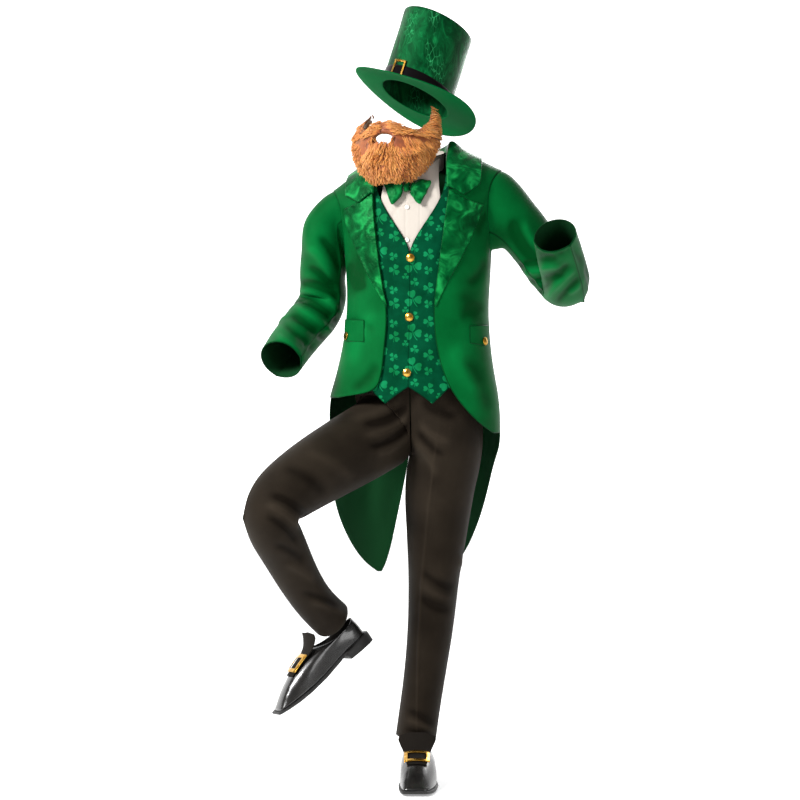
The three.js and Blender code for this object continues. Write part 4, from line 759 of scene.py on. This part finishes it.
def fur_beard(node, count, seed=41):
    """The beard: a base on the CAD form, and locks that hang and spread from it."""
    rng = random.Random(seed)
    noise.seed_set(seed)
    bm = merged_copy(node)
    form = bvhtree.BVHTree.FromBMesh(bm)
    faces = [f for f in bm.faces if f.calc_area() > 2e-6]
    middle = floor_point(-38, -20, 1500)
    outer = []
    for f in faces:
        away = f.calc_center_median() - middle
        away.z = 0
        if f.normal.dot(away.normalized()) > -0.15:
            outer.append(f)
    areas = [f.calc_area() for f in outer]
    low = min(v.co.z for v in bm.verts)
    templates = [lock_template(i, rng) for i in range(LOCK_KINDS)]
    joined = bmesh.new()
    for face in rng.choices(outer, weights=areas, k=count):
        a, b, c = (v.co for v in face.verts[:3])
        u, v = sorted((rng.random(), rng.random()))
        root = a * u + b * (v - u) + c * (1 - v)
        normal = face.normal
        swirl = noise.noise_vector(root / (34 * MM))
        above = root.z > MOUTH.z + 6 * MM
        across = root - (NOSE if above else MOUTH)
        across.z = 0
        spread = across.normalized() * (0.75 if above else 0.25)
        way = normal * 0.45 + Vector((0, 0, -1)) * (0.55 if above else 1.0) + spread + swirl * 0.75
        length = rng.uniform(17, 30) * (0.75 if above else 1.0)
        length *= min(1.0, 0.5 + (root.z - low) / (60 * MM))
        if above and abs(root.x - MOUTH.x) < PARTED:
            outwards = 1 if root.x > NOSE.x else -1
            way = normal * 0.5 + Vector((outwards, 0, -0.3)) + swirl * 0.4
        way.normalize()
        start = root - normal * (2.5 if above else 5.0) * MM
        tip = start + way * length * MM
        hit, _, _, gap = form.find_nearest(tip)
        over_mouth = [math.hypot((p.x - MOUTH.x) / MOUTH_WIDE, p.z - MOUTH.z) < MOUTH_HIGH
                      for p in (tip, (start + tip) / 2)]
        if hit is None or (any(over_mouth) and root.z > MOUTH.z - 6 * MM):
            continue
        if gap > 9 * MM:
            length *= 0.6
        up = normal.cross(way).normalized()
        side = way.cross(up).normalized()
        thick = rng.uniform(1.5, 2.6) * MM
        turn = Matrix((up * thick, side * thick, way * length * MM)).transposed().to_4x4()
        copy = rng.choice(templates).copy()
        copy.transform(Matrix.Translation(start) @ turn)
        joined.from_mesh(copy)
        bpy.data.meshes.remove(copy)
    for template in templates:
        bpy.data.meshes.remove(template)
    locks = bpy.data.meshes.new("beard_locks")
    joined.to_mesh(locks)
    joined.free()
    # Painted shade: the backing between the locks gets the darkest tone.
    layer = bm.verts.layers.float.new("tuft")
    for vert in bm.verts:
        vert[layer] = 0.12
        vert.co -= vert.normal * BACKING_DOWN
    base = subdivided(bm, 1, "beard_backing")
    for mesh in (base, locks):
        piece = finish_piece(mesh.name, mesh, node, "beard_fur")


BOW_AT = (-7, -125, 1430)          # the bow tie's middle, in mm from the floor


def satin_bow(node, folds, depth, seed):
    """A bow's wing or knot, with folds of depth mm that run out from its middle."""
    bm = merged_copy(node)
    mesh = subdivided(bm, 2, node + "_satin")
    points, normals = points_and_normals(mesh)
    centre = floor_point(*BOW_AT)
    x = points[:, 0] - centre.x
    z = points[:, 2] - centre.z
    reach = np.hypot(x, z) / MM
    turn = np.arctan2(z, np.abs(x))
    wander = np.array([noise.noise(Vector(p) / (22 * MM) + Vector((seed, 0, 0))) for p in points])
    fade = np.clip(reach / 14, 0, 1) * np.exp(-np.clip(reach - 20, 0, None) / 40)
    push = depth * np.sin(turn * folds + wander * 2.2) * fade
    points += normals * (push + wander * 0.4)[:, None] * MM
    mesh.vertices.foreach_set("co", points.astype(np.float32).ravel())
    write_attribute(mesh, "rim", np.full(len(points), 0.02))
    mesh.update()
    piece = finish_piece(node + "_satin", mesh, node, "green_satin")


# The main creases, by garment: the side each is seen from, x0, z0, x1, z1, bow, width, depth

COAT_CREASES = [
    ("front", -118, 1300, -150, 1180, 8, 16, -2.4), ("front", -100, 1130, -150, 1010, -10, 18, 2.0),
    ("front", 110, 1180, 160, 1090, 8, 18, -1.8), ("front", 95, 1050, 150, 940, -8, 20, 2.2),
    ("front", 170, 1260, 130, 1200, 6, 12, -2.6), ("front", -165, 1250, -120, 1190, -6, 12, -2.6),
    ("front", -160, 1120, -100, 1090, 5, 11, -2.0), ("front", 165, 1150, 110, 1118, -5, 12, -1.8),
    ("front", 150, 1320, 196, 1400, 6, 10, -2.4), ("front", -150, 1320, -186, 1392, -6, 10, -2.4),
    ("front", -90, 1010, -150, 950, 6, 14, -2.0), ("front", 120, 1020, 176, 900, 8, 16, -2.2),
    ("back", -90, 1230, -130, 1080, 8, 20, -2.8), ("back", 90, 1230, 130, 1080, -8, 20, -2.8),
    ("back", -60, 1060, 60, 1052, 6, 16, 2.2), ("back", -70, 1085, 70, 1080, -6, 15, -2.6),
    ("back", -120, 1300, -60, 1240, 8, 16, -2.6), ("back", 120, 1310, 60, 1250, -8, 16, -2.6),
    ("back", -110, 900, -130, 640, 10, 22, 3.0), ("back", 110, 900, 130, 660, -10, 22, 3.0),
    ("back", -70, 860, -90, 600, -8, 20, -2.8), ("back", 70, 860, 84, 610, 8, 20, -2.8),
    ("back", -30, 900, -60, 640, 8, 16, 2.0), ("back", 30, 900, 50, 640, -8, 16, 2.0),
]
SLEEVE_RIGHT_CREASES = [
    ("front", -285, 1215, -178, 1166, 10, 8, -5.0), ("front", -288, 1196, -182, 1140, 9, 8, 4.4),
    ("front", -290, 1176, -190, 1112, 8, 8, -5.0), ("front", -294, 1152, -200, 1084, 6, 8, 4.2),
    ("front", -300, 1130, -212, 1058, 5, 8, -4.2), ("front", -232, 1320, -180, 1232, 8, 11, -4.0),
    ("front", -262, 1296, -205, 1222, 8, 11, 3.4), ("front", -262, 1250, -200, 1196, 6, 9, -3.2),
    ("front", -318, 1106, -246, 1040, 4, 8, -3.4), ("front", -332, 1080, -264, 1020, 4, 8, 2.8),
    ("front", -345, 1056, -290, 1002, 4, 7, -2.6),
    ("back", -280, 1215, -186, 1138, -8, 10, -4.2), ("back", -290, 1180, -206, 1092, -6, 10, 3.8),
    ("back", -305, 1136, -230, 1054, -4, 10, -3.8), ("back", -325, 1090, -262, 1020, -4, 10, 3.0),
    ("back", -255, 1330, -210, 1236, 6, 13, -3.2), ("right", 60, 1300, 90, 1190, 6, 12, -3.0),
    ("right", 20, 1180, 96, 1110, 6, 10, -3.6), ("right", -20, 1130, 60, 1060, 6, 10, 3.0),
]
SLEEVE_LEFT_CREASES = [
    ("front", 222, 1240, 330, 1256, 6, 7, -4.4), ("front", 232, 1222, 342, 1236, 5, 7, 3.8),
    ("front", 250, 1204, 352, 1216, 4, 7, -4.0), ("front", 300, 1176, 362, 1242, 5, 7, -4.0),
    ("front", 318, 1166, 378, 1232, 5, 7, 3.6), ("front", 342, 1158, 396, 1216, 4, 7, -3.6),
    ("front", 232, 1352, 290, 1262, -8, 12, -4.0), ("front", 262, 1352, 322, 1276, -8, 11, 3.4),
    ("front", 300, 1320, 350, 1262, -6, 9, -2.8), ("front", 366, 1180, 402, 1210, -4, 7, 2.8),
    ("front", 330, 1290, 396, 1250, 4, 9, -2.4),
    ("back", 230, 1250, 340, 1238, 6, 10, -4.0), ("back", 262, 1212, 366, 1206, 4, 10, 3.6),
    ("back", 300, 1180, 390, 1190, 4, 9, -3.4), ("back", 226, 1350, 284, 1272, -6, 14, -3.4),
    ("left", -20, 1200, -110, 1240, 6, 10, -3.4), ("left", 10, 1240, -80, 1290, 6, 10, 3.0),
]
TROUSER_CREASES = [
    ("front", -22, 905, -120, 868, 10, 9, -3.6), ("front", -16, 884, -118, 838, 10, 9, 3.6),
    ("front", -14, 862, -104, 812, 9, 8, -3.8), ("front", -14, 842, -90, 796, 8, 8, 3.0),
    ("front", -30, 930, -150, 880, 10, 13, 3.0), ("front", 18, 920, 100, 884, -8, 12, -3.0),
    ("front", 10, 868, 84, 822, -8, 10, 2.8), ("front", 6, 846, 70, 790, -6, 9, -3.0),
    ("front", 2, 824, 52, 742, 4, 10, 2.4), ("front", -330, 706, -250, 650, 10, 9, -3.6),
    ("front", -338, 684, -262, 622, 9, 8, 3.2), ("front", -338, 656, -276, 596, 8, 8, -3.0),
    ("front", -300, 770, -210, 706, 8, 13, -2.8), ("front", -250, 800, -150, 740, 8, 13, 2.4),
    ("front", -322, 590, -262, 546, 6, 9, -2.6), ("front", -300, 540, -240, 498, 6, 9, 2.4),
    ("front", -262, 470, -190, 430, 5, 8, -2.8), ("front", -246, 446, -176, 410, 5, 7, 2.4),
    ("front", 16, 510, 92, 470, -6, 10, -2.8), ("front", 14, 480, 90, 440, -6, 10, 2.6),
    ("front", 12, 448, 84, 412, -6, 9, -2.4), ("front", 56, 860, 4, 110, -14, 2.6, 1.8),
    ("front", -18, 168, 46, 134, 4, 8, -2.8), ("front", -20, 146, 42, 116, 4, 7, 2.6),
    ("front", -22, 124, 36, 104, 3, 6, -2.0),
    ("back", -20, 870, -120, 830, 8, 13, -3.4), ("back", 20, 870, 120, 830, -8, 13, -3.4),
    ("back", -16, 900, -130, 880, 8, 13, 3.0), ("back", 16, 900, 130, 880, -8, 13, 3.0),
    ("back", 4, 530, 96, 506, 6, 10, -3.4), ("back", 6, 504, 94, 478, 6, 10, 3.2),
    ("back", 8, 478, 90, 452, 6, 10, -2.8), ("back", -280, 640, -190, 730, 6, 11, -3.6),
    ("back", -300, 610, -220, 690, 6, 11, 3.0), ("back", 34, 760, 62, 150, 8, 3, 1.6),
    ("left", -40, 560, 50, 520, 6, 10, -2.8), ("left", -40, 530, 50, 490, 6, 10, 2.4),
    ("right", -60, 800, 40, 860, 8, 13, -3.0), ("right", -220, 640, -150, 560, 6, 10, -2.8),
]
SHIRT_CREASES = [
    ("front", -24, 1500, -24, 1215, 0, 1.6, -0.7), ("front", 10, 1500, 10, 1215, 0, 1.6, -0.7),
    ("front", 22, 1460, 60, 1400, 6, 9, 1.6), ("front", -40, 1460, -70, 1400, -6, 9, 1.6),
    ("front", 16, 1400, 50, 1340, 6, 7, -1.4), ("front", -30, 1400, -56, 1350, -6, 7, -1.4),
]
WAISTCOAT_CREASES = [
    ("front", -80, 1160, 60, 1180, 8, 12, 1.8), ("front", -60, 1100, 70, 1086, -8, 12, -2.0),
    ("front", -60, 1030, 60, 1045, 6, 11, 1.8), ("front", -50, 985, 50, 975, -4, 10, -1.8),
    ("front", -60, 1215, -10, 1150, 6, 9, -1.6), ("front", 56, 1230, 12, 1140, -6, 9, -1.6),
]

for node in [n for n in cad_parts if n.startswith(("coat_front", "coat_back", "coat_tail"))]:
    cloth(node, "coat_cloth", 3, COAT_CREASES, wall=1.2, wave=(90, 1.2), seed=3, axis=BODY_AXIS)
for side, creases in (("right", SLEEVE_RIGHT_CREASES), ("left", SLEEVE_LEFT_CREASES)):
    for part in ("upper", "under"):
        cloth(f"sleeve_{part}_{side}", "coat_cloth", 3, creases, wall=1.2, wave=(60, 1.4), seed=5)
    cloth(f"lapel_{side}", "green_satin", 3, COAT_CREASES, wall=0.8, wave=(30, 0.5),
          pucker=(1.5, 6, 9), seed=7, axis=BODY_AXIS, edge=(1.0, 1.6))
    cloth(f"pocket_flap_{side}", "coat_cloth", 3, wall=1.2, wave=(50, 0.3), seed=9, axis=BODY_AXIS,
          edge=(0.6, 1.4))
    cloth(f"waistcoat_front_{side}", "waistcoat_print", 3, WAISTCOAT_CREASES, shell=1.6, wall=0.8,
          wave=(60, 0.5), seed=11, axis=BODY_AXIS, edge=(1.4, 1.0))
    for part in ("front", "back"):
        cloth(f"trouser_{part}_{side}", "trouser_cloth", 3, TROUSER_CREASES, wall=1.0,
              wave=(80, 1.6), seed=13)
cloth("coat_collar", "green_satin", 3, wall=0.8, wave=(30, 0.6), pucker=(1.5, 6, 9), seed=15,
      axis=floor_point(4, 0, 1480), edge=(1.0, 1.6))
cloth("shirt_front", "shirt_cloth", 3, SHIRT_CREASES, shell=1.2, wall=0.6, wave=(40, 0.4), seed=17,
      axis=BODY_AXIS, edge=None)
cloth("shirt_collar", "shirt_cloth", 3, shell=1.4, wall=0.8, wave=(40, 0.3), seed=19)
cloth("trouser_waistband", "trouser_cloth", 2, shell=2.4, wall=1.6, wave=(80, 0.4), seed=21)
cloth("hat_crown", "crown_velvet", 3, shell=2.4, wall=1.6, wave=(45, 1.0), seed=23)
cloth("hat_brim", "brim_cloth", 2, shell=3.0, wall=2.2, wave=(60, 0.6), seed=25, edge=None)
cloth("hat_band", "band_ribbon", 3, shell=1.2, wall=0.8, wave=(30, 0.4), seed=27, edge=None)
for side in ("left", "right"):
    cloth(f"shoe_upper_{side}", "shoe_gloss", 2, wall=1.6, wave=(40, 0.3), seed=29, edge=None)
    cloth(f"shoe_tongue_{side}", "tongue_cloth", 2, wall=1.4, wave=(30, 0.4), seed=31, edge=None)
    rounded(f"shoe_sole_{side}", "shoe_sole", 1.0)
    rounded(f"shoe_buckle_{side}", "gold_metal", 0.7)
    satin_bow(f"bow_wing_{side}", 9, 1.3, 3)
satin_bow("bow_knot", 7, 0.8, 5)
tip = rounded("hat_tip", "crown_velvet", 0.8, levels=1)
rounded("hat_buckle", "gold_metal", 0.6)
# Buttons: radius and height in mm, from the middle of the back to the middle of the face
GOLD_PROFILE = [(0, 0), (7, 0), (9.6, 1.2), (10, 2.4), (9.4, 3.4), (8.6, 3.1), (7.9, 3.3), (5.5, 4.4),
                (2.6, 5.0), (0, 5.1)]
PEARL_PROFILE = [(0, 0), (4.6, 0), (5.6, 0.9), (5.4, 1.8), (4.4, 2.2), (3.4, 1.7), (0, 1.6)]
for node in [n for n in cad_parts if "button" in n]:
    pearl = node.startswith("shirt")
    button(node, "shirt_button" if pearl else "gold_metal", PEARL_PROFILE if pearl else GOLD_PROFILE)
fur_beard("beard", 4500)


# Studio: a pale floor and soft lights

def soft_light(name, at, size, watts, aim):
    """A square lamp of size metres, at a place and aimed at another, both in mm from the floor."""
    light = bpy.data.lights.new(name, "AREA")
    light.shape = "SQUARE"
    light.size = size
    light.energy = watts
    lamp = bpy.data.objects.new(name, light)
    bpy.context.scene.collection.objects.link(lamp)
    lamp.location = floor_point(*at)
    lamp.rotation_euler = (floor_point(*aim) - lamp.location).to_track_quat("-Z", "Y").to_euler()
    return lamp


def backdrop(name, size, place, turn, material):
    """A flat square of the set, size metres from its middle to a side, turned about X."""
    bm = bmesh.new()
    bmesh.ops.create_grid(bm, x_segments=1, y_segments=1, size=size)
    bmesh.ops.transform(bm, matrix=Matrix.Translation(place) @ Matrix.Rotation(turn, 4, "X"),
                        verts=bm.verts)
    mesh = bpy.data.meshes.new(name)
    bm.to_mesh(mesh)
    bm.free()
    sheet = bpy.data.objects.new(name, mesh)
    bpy.context.scene.collection.objects.link(sheet)
    mesh.materials.append(material)
    return sheet


def studio():
    """The floor, a lit wall behind it, the lamps and the light all round."""
    paper, _, shader, _ = new_material("matt_paper_white")
    shader.inputs["Base Color"].default_value = linear("#f6f6f6")
    shader.inputs["Roughness"].default_value = 0.9
    shader.inputs["Emission Color"].default_value = (1, 1, 1, 1)
    shader.inputs["Emission Strength"].default_value = 0.3
    screen, _, glow, _ = new_material("lit_screen_white")
    glow.inputs["Base Color"].default_value = linear("#ffffff")
    glow.inputs["Emission Color"].default_value = (1, 1, 1, 1)
    glow.inputs["Emission Strength"].default_value = 0.95
    floor = backdrop("studio_floor", 14, floor_point(0, 0, -0.5), 0, paper)
    wall = backdrop("studio_wall", 14, floor_point(0, 8000, 6000), math.radians(90), screen)
    world = bpy.data.worlds.new("studio_world")
    bpy.context.scene.world = world
    world.use_nodes = True
    back = next(n for n in world.node_tree.nodes if n.type == "BACKGROUND")
    back.inputs["Color"].default_value = (1, 1, 1, 1)
    back.inputs["Strength"].default_value = 0.28
    soft_light("key_light", (-2300, -1900, 2700), 0.9, 210, (0, 0, 1000))
    soft_light("fill_light", (2200, -2600, 1500), 1.2, 26, (0, 0, 900))
    soft_light("rear_light", (900, 2400, 2400), 1.5, 50, (0, 0, 1100))


studio()
bpy.context.scene.view_settings.view_transform = "Standard"
